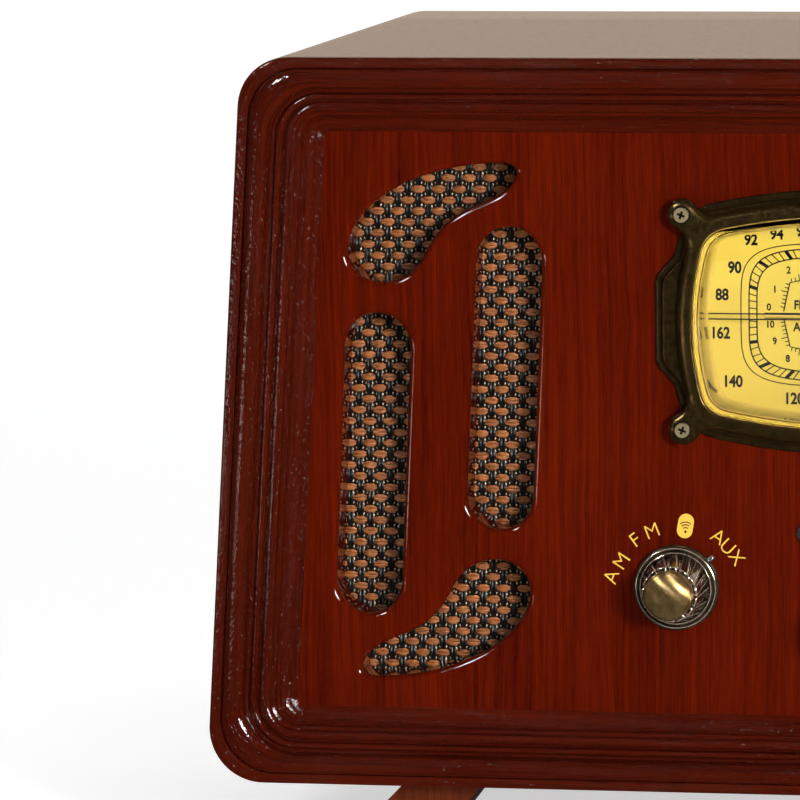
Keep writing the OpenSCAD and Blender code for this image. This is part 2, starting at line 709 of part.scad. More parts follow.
module amplifier_heatsink() color("#9ea2a6") face_frame() {
    x = board_x + 22;
    y = board_back - 60;
    top = board_z + board_t;
    block([x, x + 44], [y, y + 4], [top, top + 34]);
    for (i = [0 : 7]) block([x + i * 6, x + i * 6 + 2], [y + 4, y + 22], [top, top + 34]);
}

module mains_transformer() color("#5b4a3a") face_frame() {
    y = board_back - 50;
    block([transformer_x - 31, transformer_x + 31], [y - 18, y + 18], [inside_z + 3, inside_z + 53]);
    block([transformer_x - 20, transformer_x + 20], [y - 27, y + 27], [inside_z + 13, inside_z + 43]);
    difference() {
        block([transformer_x - 42, transformer_x + 42], [y - 12, y + 12], [inside_z, inside_z + 3]);
        for (side = [-1, 1]) translate([transformer_x + side * 37, y, inside_z - 1])
            cylinder(h = 5, d = 4.2);
    }
}

rod_z = cabinet_top - wall - 20;
rod_y_place = (shell_front + shell_back) / 2;
module ferrite_antenna() color("#3a3634") face_frame() {
    translate([-rod_len / 2, rod_y_place, rod_z]) rotate([0, 90, 0]) cylinder(h = rod_len, d = rod_d);
    translate([-16, rod_y_place, rod_z]) rotate([0, 90, 0]) cylinder(h = 32, d = rod_d + 3);
    for (side = [-1, 1]) block([side * 40 - 3, side * 40 + 3], [rod_y_place - 3, rod_y_place + 3],
        [rod_z + 3, cabinet_top - wall]);
}

// ---------- rear fittings ----------

// Mains inlet for a two-pole lead, line input and aerial socket
module rear_sockets() color("#1a1a1c") face_frame() {
    difference() {
        slab(cabinet_d - 20, cabinet_d + 0.01) translate([inlet_x, socket_z]) square([24, 16], center = true);
        slab(cabinet_d - 12, cabinet_d + 1) translate([inlet_x, socket_z]) {
            for (side = [-1, 1]) translate([side * 4, 0]) circle(d = 9.5);
            square([8, 8], center = true);
        }
    }
    for (side = [-1, 1]) rod_y(inlet_x + side * 4, socket_z, cabinet_d - 13, cabinet_d - 3, 2.4);
    tube_y(jack_x, socket_z, cabinet_d - 16, cabinet_d, 8, 3.6);
    rod_y(jack_x, socket_z, cabinet_d - 20, cabinet_d - 16, 8);
    tube_y(aerial_x, socket_z, cabinet_d - 12, cabinet_d, 10, 3);
    rod_y(aerial_x, socket_z, cabinet_d - 16, cabinet_d - 12, 10);
}

rocker_y = cabinet_d - 4;
rocker_pin_d = 2;
module rocker_pin(length, d) translate([rocker_x - length / 2, rocker_y, socket_z]) rotate([0, 90, 0])
    cylinder(h = length, d = d);

module power_switch_frame() color("#18181a") face_frame() difference() {
    slab(cabinet_d - 18, cabinet_d) translate([rocker_x, socket_z]) square([20, 14], center = true);
    slab(cabinet_d - 14, cabinet_d + 1) translate([rocker_x, socket_z]) square([16, 10.6], center = true);
    rocker_pin(18.8, rocker_pin_d + 2 * run_gap);
}

// Rocker that tips about a level axis across its middle, drawn in its off position
module power_rocker() color("#8e1b14") face_frame() {
    translate([rocker_x, rocker_y, socket_z]) rotate([rocker_tilt, 0, 0]) rotate([90, 0, 90])
        linear_extrude(15, center = true)
            polygon([[-5, -1.6], [-5, 1.6], [1, 4.4], [4, 4.3], [3, 0], [4, -4.3], [1, -4.4]]);
    rocker_pin(18.4, rocker_pin_d);
}

// ---------- legs ----------

leg_screw_places_x = [-leg_screw_x, leg_screw_x];
leg_screw_places_y = [max(leg_inset_front + 10, panel_back + head_d / 2 + 1.3),
    leg_inset_front + leg_d - 8,
    leg_back_y + 10, leg_back_y + leg_d - 10];
leg_outer_x = leg_top_x + leg_top_w + (leg_h - pad_t - leg_toe) * tan(leg_outer_splay);
leg_inner_x = leg_top_x + (leg_h - pad_t) * tan(leg_inner_splay);

module leg_outline() polygon([[leg_top_x, leg_h], [leg_top_x + leg_top_w, leg_h],
    [leg_outer_x, pad_t + leg_toe], [leg_outer_x, pad_t], [leg_inner_x, pad_t]]);

module legs(side) scale_x(side) difference() {
    for (y = [leg_inset_front, leg_back_y]) slab(y, y + leg_d) leg_outline();
    for (x = [leg_screw_x], y = leg_screw_places_y)
        translate([x, y, leg_h - leg_thread]) cylinder(h = leg_thread + 1, d = screw_d);
}
module legs_left() color("#6d1f10") face_frame() legs(-1);
module legs_right() color("#6d1f10") face_frame() legs(1);

module leg_screws() color("#8c8c90") face_frame() for (x = leg_screw_places_x, y = leg_screw_places_y)
    translate([x, y, 0]) {
        translate([0, 0, leg_h - leg_thread]) cylinder(h = leg_thread + wall, d = screw_d);
        translate([0, 0, inside_z]) cylinder(h = head_t, d = head_d);
    }

module foot_pads() color("#141414") face_frame() for (side = [-1, 1], y = [leg_inset_front, leg_back_y])
    scale_x(side) block([leg_inner_x + 1.5, leg_outer_x - 1.5], [y + 2, y + leg_d - 2], [0, pad_t]);

cabinet_shell();
front_frame();
front_panel();
rear_panel();
rear_panel_screws();
grille_cloth_left();
grille_cloth_right();
speaker_basket_left();
speaker_basket_right();
speaker_magnet_left();
speaker_magnet_right();
speaker_surround_left();
speaker_surround_right();
speaker_cone_left();
speaker_cone_right();
panel_screws();
dial_bezel_base();
dial_bezel();
bezel_screws();
dial_lens();
dial_scale();
dial_light_box();
dial_lamps();
dial_pointer();
pointer_shaft();
dial_drum();
drive_cord();
tuner_bracket();
tuning_capacitor();
tuning_shaft();
drive_pulley();
tuning_bush();
tuning_knob_base();
tuning_knob_skirt();
tuning_knob_cap();
mode_switch();
mode_shaft();
mode_knob_base();
mode_knob_skirt();
mode_knob_cap();
volume_control();
volume_shaft();
volume_knob_base();
volume_knob_skirt();
volume_knob_cap();
bush_nuts();
indicator_rings();
indicator_lenses();
main_board();
board_fixings();
amplifier_heatsink();
mains_transformer();
ferrite_antenna();
rear_sockets();
power_switch_frame();
power_rocker();
legs_left();
legs_right();
leg_screws();
foot_pads();
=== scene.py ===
"""Looks for the tabletop radio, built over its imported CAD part."""
import math
import random

import bmesh
import bpy
import numpy as np
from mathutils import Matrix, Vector, geometry


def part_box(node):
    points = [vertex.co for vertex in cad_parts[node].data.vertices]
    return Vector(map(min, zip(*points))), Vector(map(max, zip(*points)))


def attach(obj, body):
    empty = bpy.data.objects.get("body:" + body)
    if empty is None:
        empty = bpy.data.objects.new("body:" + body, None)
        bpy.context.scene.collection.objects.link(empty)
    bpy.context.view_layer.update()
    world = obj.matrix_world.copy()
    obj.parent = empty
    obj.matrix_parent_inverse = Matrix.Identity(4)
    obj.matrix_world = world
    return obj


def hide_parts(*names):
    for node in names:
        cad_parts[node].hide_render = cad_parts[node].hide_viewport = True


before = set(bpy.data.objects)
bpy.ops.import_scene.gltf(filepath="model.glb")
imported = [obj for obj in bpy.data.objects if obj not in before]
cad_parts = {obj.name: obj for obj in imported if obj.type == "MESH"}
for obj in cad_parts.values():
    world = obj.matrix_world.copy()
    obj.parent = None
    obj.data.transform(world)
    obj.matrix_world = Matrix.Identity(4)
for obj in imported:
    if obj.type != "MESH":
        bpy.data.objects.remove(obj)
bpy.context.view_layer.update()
rng = random.Random(7)
MM = 0.001
ROOT = "radio"

# ---------- camera ----------
camera_data = bpy.data.cameras.new("camera")
camera_data.sensor_width = 36
camera_data.lens = 313.1
camera_data.clip_end = 20
camera = bpy.data.objects.new("camera", camera_data)
bpy.context.scene.collection.objects.link(camera)
camera.location = (0.2907, -2.3504, 0.4296)
camera.rotation_euler = [math.radians(a) for a in (83.2227, 0.5833, 11.0809)]
bpy.context.scene.camera = camera
bpy.context.scene.view_settings.view_transform = "Standard"


# ---------- places, from the CAD part ----------
def middle(node):
    lo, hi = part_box(node)
    return (lo + hi) / 2


ring_lo, ring_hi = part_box("front_frame")
shell_lo, shell_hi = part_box("cabinet_shell")
panel_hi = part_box("front_panel")[1]
scale_lo, scale_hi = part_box("dial_scale")
lens_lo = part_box("dial_lens")[0]
CROWN = ring_lo.y
PANEL = CROWN + 12 * MM
DIAL = middle("dial_scale")
BOTTOM, TOP = ring_lo.z, ring_hi.z
LEAN = 3.4
TAN, COS = math.tan(math.radians(LEAN)), math.cos(math.radians(LEAN))
HALF = (419 / 2 - 0.02) * MM
SIDE_RATIO = 28.1 / 25
FACE_Z = (BOTTOM + TOP) / 2


def half_w(z, inset=0.0):
    return HALF + (FACE_Z - z) * TAN - inset / COS


def arc(cx, cz, r, a0, a1, n):
    angles = np.radians(np.linspace(a0, a1, n + 1))
    return np.stack([cx + r * np.cos(angles), cz + r * np.sin(angles)], 1)


def face_points(inset, r_top, r_bottom, n=16, straight=10):
    """The cabinet's rounded outline moved in by inset, with points along its straight sides too."""
    zt, zb = TOP - inset - r_top, BOTTOM + inset + r_bottom
    side = inset * SIDE_RATIO
    xt, xb = half_w(zt, side + r_top), half_w(zb, side + r_bottom)
    low = arc(xb, zb, r_bottom, -90, LEAN, n)
    high = arc(xt, zt, r_top, LEAN, 90, n)
    side = np.linspace(low[-1], high[0], straight + 1)[1:-1]
    right = np.concatenate([low, side, high])
    left = right[::-1] * [-1, 1]
    top = np.linspace(high[-1], left[0], straight + 1)[1:-1]
    bottom = np.linspace(left[-1], low[0], straight + 1)[1:-1]
    return np.concatenate([right, top, left, bottom])


# ---------- meshes ----------
def link(name, mesh, material, body=ROOT, replaces=(), slot=None):
    o = bpy.data.objects.new(name, mesh)
    bpy.context.scene.collection.objects.link(o)
    if material:
        o.data.materials.clear()
        o.data.materials.append(material)
    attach(o, body)
    if replaces:
        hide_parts(*replaces)
    return o


def shade(mesh, angle):
    for p in mesh.polygons:
        p.use_smooth = True
    mesh.set_sharp_from_angle(angle=math.radians(angle))


def make_mesh(name, verts, faces, smooth=40, uv=None):
    mesh = bpy.data.meshes.new(name)
    mesh.from_pydata([tuple(v) for v in verts], [], [tuple(f) for f in faces])
    mesh.validate()
    if uv is not None:
        layer = mesh.uv_layers.new(name="grain")
        for loop in mesh.loops:
            layer.data[loop.index].uv = uv[loop.vertex_index]
    if smooth:
        shade(mesh, smooth)
    return mesh


def stack(name, loops, smooth=40, cap_first=False, cap_last=False, closed=False, grain=None):
    """Closed loops of the same number of points joined one to the next."""
    loops = [np.asarray(l, float) for l in loops]
    n, faces = len(loops[0]), []
    count = len(loops)
    for j in range(count if closed else count - 1):
        a, b = j * n, (j + 1) % count * n
        for i in range(n):
            k = (i + 1) % n
            faces.append((a + i, b + i, b + k, a + k))
    if cap_first:
        faces.append(tuple(range(n)))
    if cap_last:
        faces.append(tuple(range(count * n - 1, (count - 1) * n - 1, -1)))
    verts = np.concatenate(loops)
    mesh = make_mesh(name, verts, faces, None)
    if grain:
        put_grain(mesh, loops, n, grain)
    fix_normals(mesh)
    shade(mesh, smooth)
    return mesh


def put_grain(mesh, loops, n, grain):
    """UVs in metres: u along the loops and v across them, with no jump at the seam."""
    base = loops[0]
    steps = np.linalg.norm(np.roll(base, -1, 0) - base, axis=1)
    u = np.concatenate([[0], np.cumsum(steps)])
    across = [0.0]
    for p, q in zip(loops[:-1], loops[1:]):
        across.append(across[-1] + float(np.median(np.linalg.norm(q - p, axis=1))))
    layer = mesh.uv_layers.new(name="grain")
    for poly in mesh.polygons:
        columns = [mesh.loops[l].vertex_index % n for l in poly.loop_indices]
        wraps = max(columns) - min(columns) > n / 2
        for l, c in zip(poly.loop_indices, columns):
            j = mesh.loops[l].vertex_index // n
            uu = u[n] if wraps and c == 0 else u[c]
            layer.data[l].uv = (uu, across[j])


def fix_normals(mesh):
    bm = bmesh.new()
    bm.from_mesh(mesh)
    bmesh.ops.recalc_face_normals(bm, faces=bm.faces)
    bm.to_mesh(mesh)
    bm.free()


def turned(name, profile, centre, segments, smooth=35):
    """Radius and depth pairs turned about the line along Y through centre (x, z)."""
    loops = []
    for r, y in profile:
        a = np.linspace(0, 2 * math.pi, segments, endpoint=False)
        loops.append(np.stack([centre[0] + r * np.cos(a), np.full(segments, y),
                               centre[1] + r * np.sin(a)], 1))
    return stack(name, loops, smooth, cap_first=True, cap_last=True)


def edge_loops(node, y, tolerance=2e-5):
    """Outlines of a CAD node's flat face at depth y, as (N, 2) arrays of x and z, the longest first."""
    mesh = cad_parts[node].data
    key = lambda v: (round(v.co.x * 1e6), round(v.co.z * 1e6))
    count, place = {}, {}
    for p in mesh.polygons:
        vs = [mesh.vertices[i] for i in p.vertices]
        if max(abs(v.co.y - y) for v in vs) > tolerance:
            continue
        ks = [key(v) for v in vs]
        for v, k in zip(vs, ks):
            place[k] = (v.co.x, v.co.z)
        for a, b in zip(ks, ks[1:] + ks[:1]):
            if (b, a) in count:
                del count[(b, a)]
            else:
                count[(a, b)] = True
    following = dict(count.keys())
    found = []
    while following:
        start, k = next(iter(following.items()))
        del following[start]
        loop = [place[start]]
        while k != start and k in following:
            loop.append(place[k])
            k = following.pop(k)
        found.append(np.array(loop))
    length = lambda l: float(np.linalg.norm(np.roll(l, -1, 0) - l, axis=1).sum())
    return sorted((l for l in found if len(l) > 5), key=length, reverse=True)


def resample(loop, step):
    d = np.linalg.norm(np.roll(loop, -1, 0) - loop, axis=1)
    at = np.concatenate([[0], np.cumsum(d)])
    n = max(12, int(at[-1] / step))
    s = np.linspace(0, at[-1], n, endpoint=False)
    closed = np.vstack([loop, loop[:1]])
    return np.stack([np.interp(s, at, closed[:, i]) for i in (0, 1)], 1)


def smoothed(loop, step, rounds=2):
    loop = resample(loop, step)
    for _ in range(rounds):
        loop = (np.roll(loop, 1, 0) + 2 * loop + np.roll(loop, -1, 0)) / 4
    return loop


def area2(loop):
    x, z = loop[:, 0], loop[:, 1]
    return float((x * np.roll(z, -1) - np.roll(x, -1) * z).sum())


def counter_clockwise(loop):
    return loop if area2(loop) > 0 else loop[::-1]


def outward(loop):
    """Unit normals that point out of a counter-clockwise loop."""
    t = np.roll(loop, -1, 0) - np.roll(loop, 1, 0)
    n = np.stack([t[:, 1], -t[:, 0]], 1)
    return n / np.maximum(np.linalg.norm(n, axis=1), 1e-9)[:, None]


def at_depth(loop, y):
    return np.stack([loop[:, 0], np.full(len(loop), y), loop[:, 1]], 1)


def plate(name, outer, holes, y0, y1, round_outer=0.0, round_holes=(), smooth=45, steps=6, grain=None):
    """A flat plate from y0 back to y1, with rounded front edges outside and round each hole."""
    verts, faces, fronts, backs = [], [], [], []

    def wall(loop, radius, sign):
        loop = counter_clockwise(loop)
        n, normal = len(loop), outward(loop)
        rows = [at_depth(loop, y1)]
        if radius:
            across, deep = radius if isinstance(radius, tuple) else (radius, radius)
            for i in range(steps + 1):
                a = math.pi / 2 * i / steps
                rows.append(at_depth(loop - sign * normal * across * (1 - math.cos(a)),
                                     y0 + deep * (1 - math.sin(a))))
        else:
            rows.append(at_depth(loop, y0))
        first = len(verts)
        for r in rows:
            verts.extend(r)
        for j in range(len(rows) - 1):
            a, b = first + j * n, first + (j + 1) * n
            for i in range(n):
                k = (i + 1) % n
                faces.append((a + i, a + k, b + k, b + i))
        last = first + (len(rows) - 1) * n
        fronts.append(list(range(last, last + n)))
        backs.append(list(range(first, first + n)))

    wall(outer, round_outer, 1)
    for i, h in enumerate(holes):
        wall(h, round_holes[i] if i < len(round_holes) else 0.0, -1)
    for rings in (fronts, backs):
        flat = [i for r in rings for i in r]
        lines = [[Vector((verts[i][0], verts[i][2], 0)) for i in r] for r in rings]
        for t in geometry.tessellate_polygon(lines):
            faces.append(tuple(flat[i] for i in t))
    uv = [grain(v) for v in verts] if grain else None
    mesh = make_mesh(name, verts, faces, None, uv)
    fix_normals(mesh)
    shade(mesh, smooth)
    return mesh


def weighted(o):
    m = o.modifiers.new("weighted", "WEIGHTED_NORMAL")
    m.keep_sharp = True
    m.weight = 100


def join_meshes(parts):
    verts, faces = [], []
    for v, f in parts:
        base = len(verts)
        verts.extend(v)
        faces.extend([tuple(i + base for i in q) for q in f])
    return verts, faces


# ---------- materials ----------
def material(name):
    m = bpy.data.materials.new(name)
    m.use_nodes = True
    m.node_tree.nodes.clear()
    return m, m.node_tree


def add(tree, kind, sockets=None, **attributes):
    n = tree.nodes.new("ShaderNode" + kind)
    for k, v in attributes.items():
        setattr(n, k, v)
    for k, v in (sockets or {}).items():
        s = n.inputs[k]
        if isinstance(v, bpy.types.NodeSocket):
            tree.links.new(v, s)
        else:
            s.default_value = v
    return n


def calc(tree, operation, a, b=0.0, c=0.0):
    return add(tree, "Math", {0: a, 1: b, 2: c}, operation=operation).outputs[0]


def mix(tree, fac, a, b):
    return add(tree, "Mix", {0: fac, 6: a, 7: b}, data_type="RGBA").outputs[2]


def rgb(r, g, b):
    return (r, g, b, 1.0)


def noise(tree, vector, scale, detail=2.0, roughness=0.5):
    return add(tree, "TexNoise", {"Vector": vector, "Scale": scale, "Detail": detail,
                                  "Roughness": roughness}).outputs["Fac"]


def stretched(tree, vector, x, y, z=1.0):
    return add(tree, "Mapping", {"Vector": vector, "Scale": (x, y, z)}).outputs["Vector"]


def ramp(tree, fac, low, high):
    return add(tree, "MapRange", {"Value": fac, "From Min": low, "From Max": high}).outputs["Result"]


def finish_surface(m, tree, sockets, bump=None, bump_strength=0.2, bump_distance=0.0002,
                   coat_bump=False):
    n = add(tree, "BsdfPrincipled", sockets)
    if bump is not None:
        b = add(tree, "Bump", {"Height": bump, "Strength": bump_strength, "Distance": bump_distance})
        tree.links.new(b.outputs["Normal"], n.inputs["Normal"])
        if coat_bump:
            tree.links.new(b.outputs["Normal"], n.inputs["Coat Normal"])
    add(tree, "OutputMaterial", {"Surface": n.outputs["BSDF"]})
    return m


def plain(name, color, roughness=0.5, metallic=0.0, specular=0.5, coat=0.0, speckle=0.0, scale=900.0,
          bump_strength=0.0):
    m, t = material(name)
    at = add(t, "TexCoord").outputs["Object"]
    n = noise(t, at, scale, 3.0)
    dark = tuple(c * (1 - speckle) for c in color)
    sockets = {"Base Color": mix(t, n, rgb(*dark), rgb(*color)), "Roughness": roughness,
               "Metallic": metallic, "Specular IOR Level": specular, "Coat Weight": coat,
               "Coat Roughness": 0.05}
    return finish_surface(m, t, sockets, n if bump_strength else None, bump_strength)


def wood(name, dark, light, by_object=False, streak=1.0, figure=0.35, pores=0.10):
    """Lacquered veneer. Grain runs along u of the "grain" UVs, or along the height of the piece."""
    m, t = material(name)
    if by_object:
        at = add(t, "TexCoord").outputs["Object"]
        s = add(t, "SeparateXYZ", {0: at})
        side = calc(t, "MULTIPLY_ADD", s.outputs["Y"], 0.8, s.outputs["X"])
        at = add(t, "CombineXYZ", {0: s.outputs["Z"], 1: side, 2: 0.0}).outputs[0]
    else:
        at = add(t, "UVMap", uv_map="grain").outputs["UV"]
    sep = add(t, "SeparateXYZ", {0: at})
    wander = noise(t, stretched(t, at, 5, 16), 1.0, 3.0, 0.5)
    v = calc(t, "MULTIPLY_ADD", wander, 0.012, sep.outputs["Y"])
    wobbly = add(t, "CombineXYZ", {0: sep.outputs["X"], 1: v, 2: 0.0}).outputs[0]
    rings = calc(t, "SINE", calc(t, "MULTIPLY", v, 2 * math.pi / 0.017))
    rings = calc(t, "MULTIPLY_ADD", rings, 0.5, 0.5)
    bands = noise(t, stretched(t, wobbly, 9, 560), 1.0, 4.0, 0.62)
    fine = noise(t, stretched(t, wobbly, 75, 1900), 1.0, 4.0, 0.68)
    cloud = noise(t, stretched(t, at, 9, 26), 1.0, 2.0, 0.5)
    a = calc(t, "MULTIPLY_ADD", ramp(t, bands, 0.3, 0.7), 0.42 * streak, 0.0)
    b = calc(t, "MULTIPLY_ADD", ramp(t, fine, 0.3, 0.7), 0.38 * streak, a)
    c = calc(t, "MULTIPLY_ADD", rings, figure * 0.4, b)
    d = calc(t, "MULTIPLY_ADD", cloud, 0.35, c)
    fac = ramp(t, d, 0.25, 1.05)
    base = mix(t, fac, rgb(*dark), rgb(*light))
    peel = noise(t, stretched(t, at, 520, 700), 1.0, 2.0, 0.5)
    pits = noise(t, stretched(t, at, 420, 1500), 1.0, 2.0, 0.6)
    height = calc(t, "MULTIPLY_ADD", ramp(t, pits, 0.60, 0.72), 0.8, peel)
    sockets = {"Base Color": base, "Roughness": 0.7, "Specular IOR Level": 0.0,
               "Coat Weight": 1.0, "Coat Roughness": 0.045, "Coat IOR": 1.5}
    return finish_surface(m, t, sockets, height, pores, 0.0002, True)


def metal(name, dark, light, roughness=0.3, scale=160.0, brushed=0.0, bump=0.05, along_grain=False,
          metallic=1.0):
    m, t = material(name)
    at = add(t, "TexCoord").outputs["Object"]
    n = noise(t, at, scale, 4.0, 0.6)
    f = noise(t, at, 2500, 3.0, 0.6)
    fac = ramp(t, calc(t, "MULTIPLY_ADD", f, 0.35, n), 0.52, 0.82)
    sockets = {"Base Color": mix(t, fac, rgb(*dark), rgb(*light)), "Metallic": metallic,
               "Roughness": roughness, "Anisotropic": brushed}
    if along_grain:
        sockets["Tangent"] = add(t, "Tangent", direction_type="UV_MAP", uv_map="grain").outputs["Tangent"]
    return finish_surface(m, t, sockets, f, bump, 0.0001)


def glass(name, tint, roughness=0.0, ior=1.49):
    """Clear plastic that lets light through to what is behind it."""
    m, t = material(name)
    p = add(t, "BsdfPrincipled", {"Base Color": rgb(*tint), "Roughness": roughness, "IOR": ior,
                                  "Transmission Weight": 1.0})
    clear = add(t, "BsdfTransparent", {"Color": rgb(*tint)})
    path = add(t, "LightPath")
    through = calc(t, "MAXIMUM", path.outputs["Is Shadow Ray"], path.outputs["Is Diffuse Ray"])
    both = add(t, "MixShader", {0: through, 1: p.outputs["BSDF"], 2: clear.outputs["BSDF"]})
    add(t, "OutputMaterial", {"Surface": both.outputs["Shader"]})
    return m


PANEL_WOOD = wood("panel_veneer", (0.032, 0.0014, 0.0001), (0.165, 0.0115, 0.0007), figure=0.12, streak=0.8)
CABINET_WOOD = wood("cabinet_veneer", (0.026, 0.0020, 0.0005), (0.115, 0.0105, 0.0022), figure=0.1,
                    streak=0.7, pores=0.75)
LEG_WOOD = wood("leg_wood", (0.045, 0.008, 0.003), (0.150, 0.030, 0.010), by_object=True, figure=0.2)
BACK_BOARD = plain("rear_board", (0.022, 0.017, 0.014), 0.75, speckle=0.35, scale=1400, bump_strength=0.1)
DARK_STEEL = metal("dark_steel", (0.02, 0.02, 0.022), (0.06, 0.06, 0.065), 0.45)
ZINC = metal("zinc_steel", (0.45, 0.46, 0.48), (0.62, 0.63, 0.65), 0.32)
BLACK = plain("black_plastic", (0.012, 0.012, 0.013), 0.38, speckle=0.3, bump_strength=0.05)
BRONZE_DARK = metal("bronze_dark", (0.024, 0.0145, 0.004), (0.062, 0.038, 0.010), 0.2, 500, metallic=0.7,
                    bump=0.006)
BRONZE = metal("bronze", (0.045, 0.028, 0.008), (0.125, 0.080, 0.024), 0.24, 700, 0.3, metallic=0.85,
               bump=0.008)
SCREW_BRASS = plain("bezel_screw_brass", (0.62, 0.50, 0.28), 0.3, metallic=0.7, speckle=0.3)
KNOB_BRONZE = metal("knob_bronze", (0.045, 0.032, 0.020), (0.15, 0.11, 0.075), 0.22, 500, metallic=0.75)
KNOB_CROWN = metal("knob_crown", (0.030, 0.017, 0.009), (0.20, 0.13, 0.085), 0.22, 700, metallic=0.9)
KNOB_BRASS = metal("knob_brass", (0.26, 0.165, 0.060), (0.46, 0.31, 0.13), 0.33, 300, 1.0, along_grain=True,
                   metallic=0.85, bump=0.01)
# Bright metal for the knobs' worn edges, also painted highlight: glint lines on the rim's rings and the
# crown's facet edges
WORN_GLINT = metal("knob_worn_glint_edge", (0.60, 0.48, 0.36), (1.0, 0.88, 0.72), 0.16, 900, metallic=0.8)
SILVER = metal("indicator_ring", (0.5, 0.5, 0.52), (0.75, 0.75, 0.77), 0.22)
# Dark ink for the printing; the same ink also paints shade: the screws' recesses and the dark edge lines of
# the clear bars
INK_AND_SHADE = plain("print_ink_and_painted_shade", (0.004, 0.003, 0.002), 0.7, specular=0.1)
LABEL = plain("legend_ink", (0.86, 0.52, 0.055), 0.45)
LENS = glass("clear_lens", (1.0, 0.985, 0.95), ior=1.36)


def scale_material():
    m, t = material("scale_print")
    at = add(t, "TexCoord").outputs["Object"]
    n = noise(t, at, 45, 2.0)
    base = mix(t, n, rgb(0.57, 0.465, 0.062), rgb(0.64, 0.53, 0.085))
    # Painted light: a faint amber emission makes the scale glow as if the dial lamps shone through it
    return finish_surface(m, t, {"Base Color": base, "Roughness": 0.5, "Specular IOR Level": 0.3,
                                 "Emission Color": rgb(0.80, 0.56, 0.10), "Emission Strength": 0.10})


SCALE = scale_material()
# Painted light: amber for the wall that stands in for the dial's light along the lens's edge
LENS_EDGE_GLOW = plain("lens_edge_painted_light", (0.70, 0.47, 0.09), 0.4, speckle=0.15)


def yarn_material(name, dark, light, roughness, glint, along):
    """Twisted yarn: strands along it, each with a lighter crown, and a few spots of painted glint."""
    m, t = material(name)
    at = add(t, "TexCoord").outputs["Object"]
    size = (260, 1, 2600) if along == "x" else (2600, 1, 260)
    strands = noise(t, stretched(t, at, *size), 1.0, 3.0, 0.7)
    patches = noise(t, at, 420, 2.0)
    fac = ramp(t, calc(t, "MULTIPLY_ADD", patches, 0.4, strands), 0.42, 0.95)
    base = mix(t, fac, rgb(*dark), rgb(*light))
    # Painted highlight: a few spots turn pale grey as glints on the yarn
    glint_spots = ramp(t, noise(t, stretched(t, at, *size), 1.7, 2.0, 0.6), 0.64, 0.74)
    base = mix(t, calc(t, "MULTIPLY", glint_spots, glint), base, rgb(0.55, 0.52, 0.47))
    return finish_surface(m, t, {"Base Color": base, "Roughness": roughness,
                                 "Specular IOR Level": 0.35}, strands, 0.6, 0.0002)


COPPER_YARN = yarn_material("copper_yarn", (0.045, 0.009, 0.002), (0.56, 0.190, 0.050), 0.45, 0.25, "x")
BEIGE_YARN = plain("beige_yarn", (0.60, 0.45, 0.29), 0.6, speckle=0.4, scale=1500)
BLACK_YARN = yarn_material("black_yarn", (0.0015, 0.0015, 0.0015), (0.008, 0.007, 0.006), 0.28, 0.12, "z")
GROUND_CLOTH = plain("ground_cloth", (0.010, 0.007, 0.005), 0.9, speckle=0.5, scale=1800)

# ---------- cabinet ----------
MOULD = 25.0


def bead(w0, w1, y_base, y_crown, n):
    a = np.linspace(0, math.pi, n + 1)
    return [((w0 + w1) / 2 - (w1 - w0) / 2 * math.cos(x), y_base - (y_base - y_crown) * math.sin(x))
            for x in a]


def ring_radius(w, r):
    return r if w < 10 else max(1.2, r - (w - 10) * (r - 2) / (MOULD - 10))


moulding = ([(0, 14), (0, 9), (0, 3.8), (0.15, 3.1), (0.5, 2.7), (1.0, 2.55), (3.3, 2.6)]
            + bead(3.6, 10.2, 3.4, 0, 20) + [(10.5, 4.6), (11.0, 4.75), (11.5, 4.6)]
            + bead(11.8, 13.9, 4.2, 2.8, 12) + [(14.2, 4.7)]
            + bead(14.6, 17.8, 4.6, 3.2, 12) + [(18.0, 5.4), (18.4, 5.65), (18.8, 5.8)]
            + [(MOULD - 0.4 - (MOULD - 19.4) * math.cos(a), 11 - 5 * (1 - math.sin(a)))
               for a in np.radians(np.linspace(0, 78, 12))]
            + [(MOULD, 12), (12.2, 12), (12.2, 14)])
ring = []
for w, y in moulding:
    outline = face_points(w * MM, ring_radius(w, 17) * MM, ring_radius(w, 18) * MM, 20, 14)
    ring.append(at_depth(outline, CROWN + y * MM))
link("front_moulding", stack("front_moulding", ring, 32, closed=True, grain=True), CABINET_WOOD,
     replaces=["front_frame"], slot="cabinet_veneer")

y0, y1 = shell_lo.y, shell_hi.y
skin = []
for inset, y in ((12, y0), (0, y0), (0, y0 + 0.02), (0, y0 + 0.06), (0, y0 + 0.12), (0, y0 + 0.18),
                 (0, y1 - 0.0015), (0.4, y1 - 0.0004), (1.5, y1), (12, y1)):
    r_top, r_bottom = (4, 6) if inset == 12 else (17 - inset, 18 - inset)
    skin.append(at_depth(face_points(inset * MM, r_top * MM, r_bottom * MM, 24, 14), y))
link("cabinet_skin", stack("cabinet_skin", skin, 40, closed=True, grain=True), CABINET_WOOD,
     replaces=["cabinet_shell"], slot="cabinet_veneer")

# ---------- front panel ----------
outer, *openings = edge_loops("front_panel", PANEL)
size_of = lambda l: l.max(0) - l.min(0)
screen_hole = max(openings, key=lambda l: size_of(l)[0])
rounded, sharp = [], []
for opening in openings:
    if opening is not screen_hole and max(size_of(opening)) > 30 * MM:
        rounded.append(smoothed(opening, 1.1 * MM, 2))
    else:
        sharp.append(opening)
edges = [(1.9 * MM, 2.2 * MM)] * len(rounded)
panel = link("front_board", plate("front_board", outer, rounded + sharp, PANEL, panel_hi.y, 0.0, edges, 45, 8,
                                  grain=lambda v: (v[2], v[0])),
             PANEL_WOOD, replaces=["front_panel"], slot="panel_veneer")
weighted(panel)


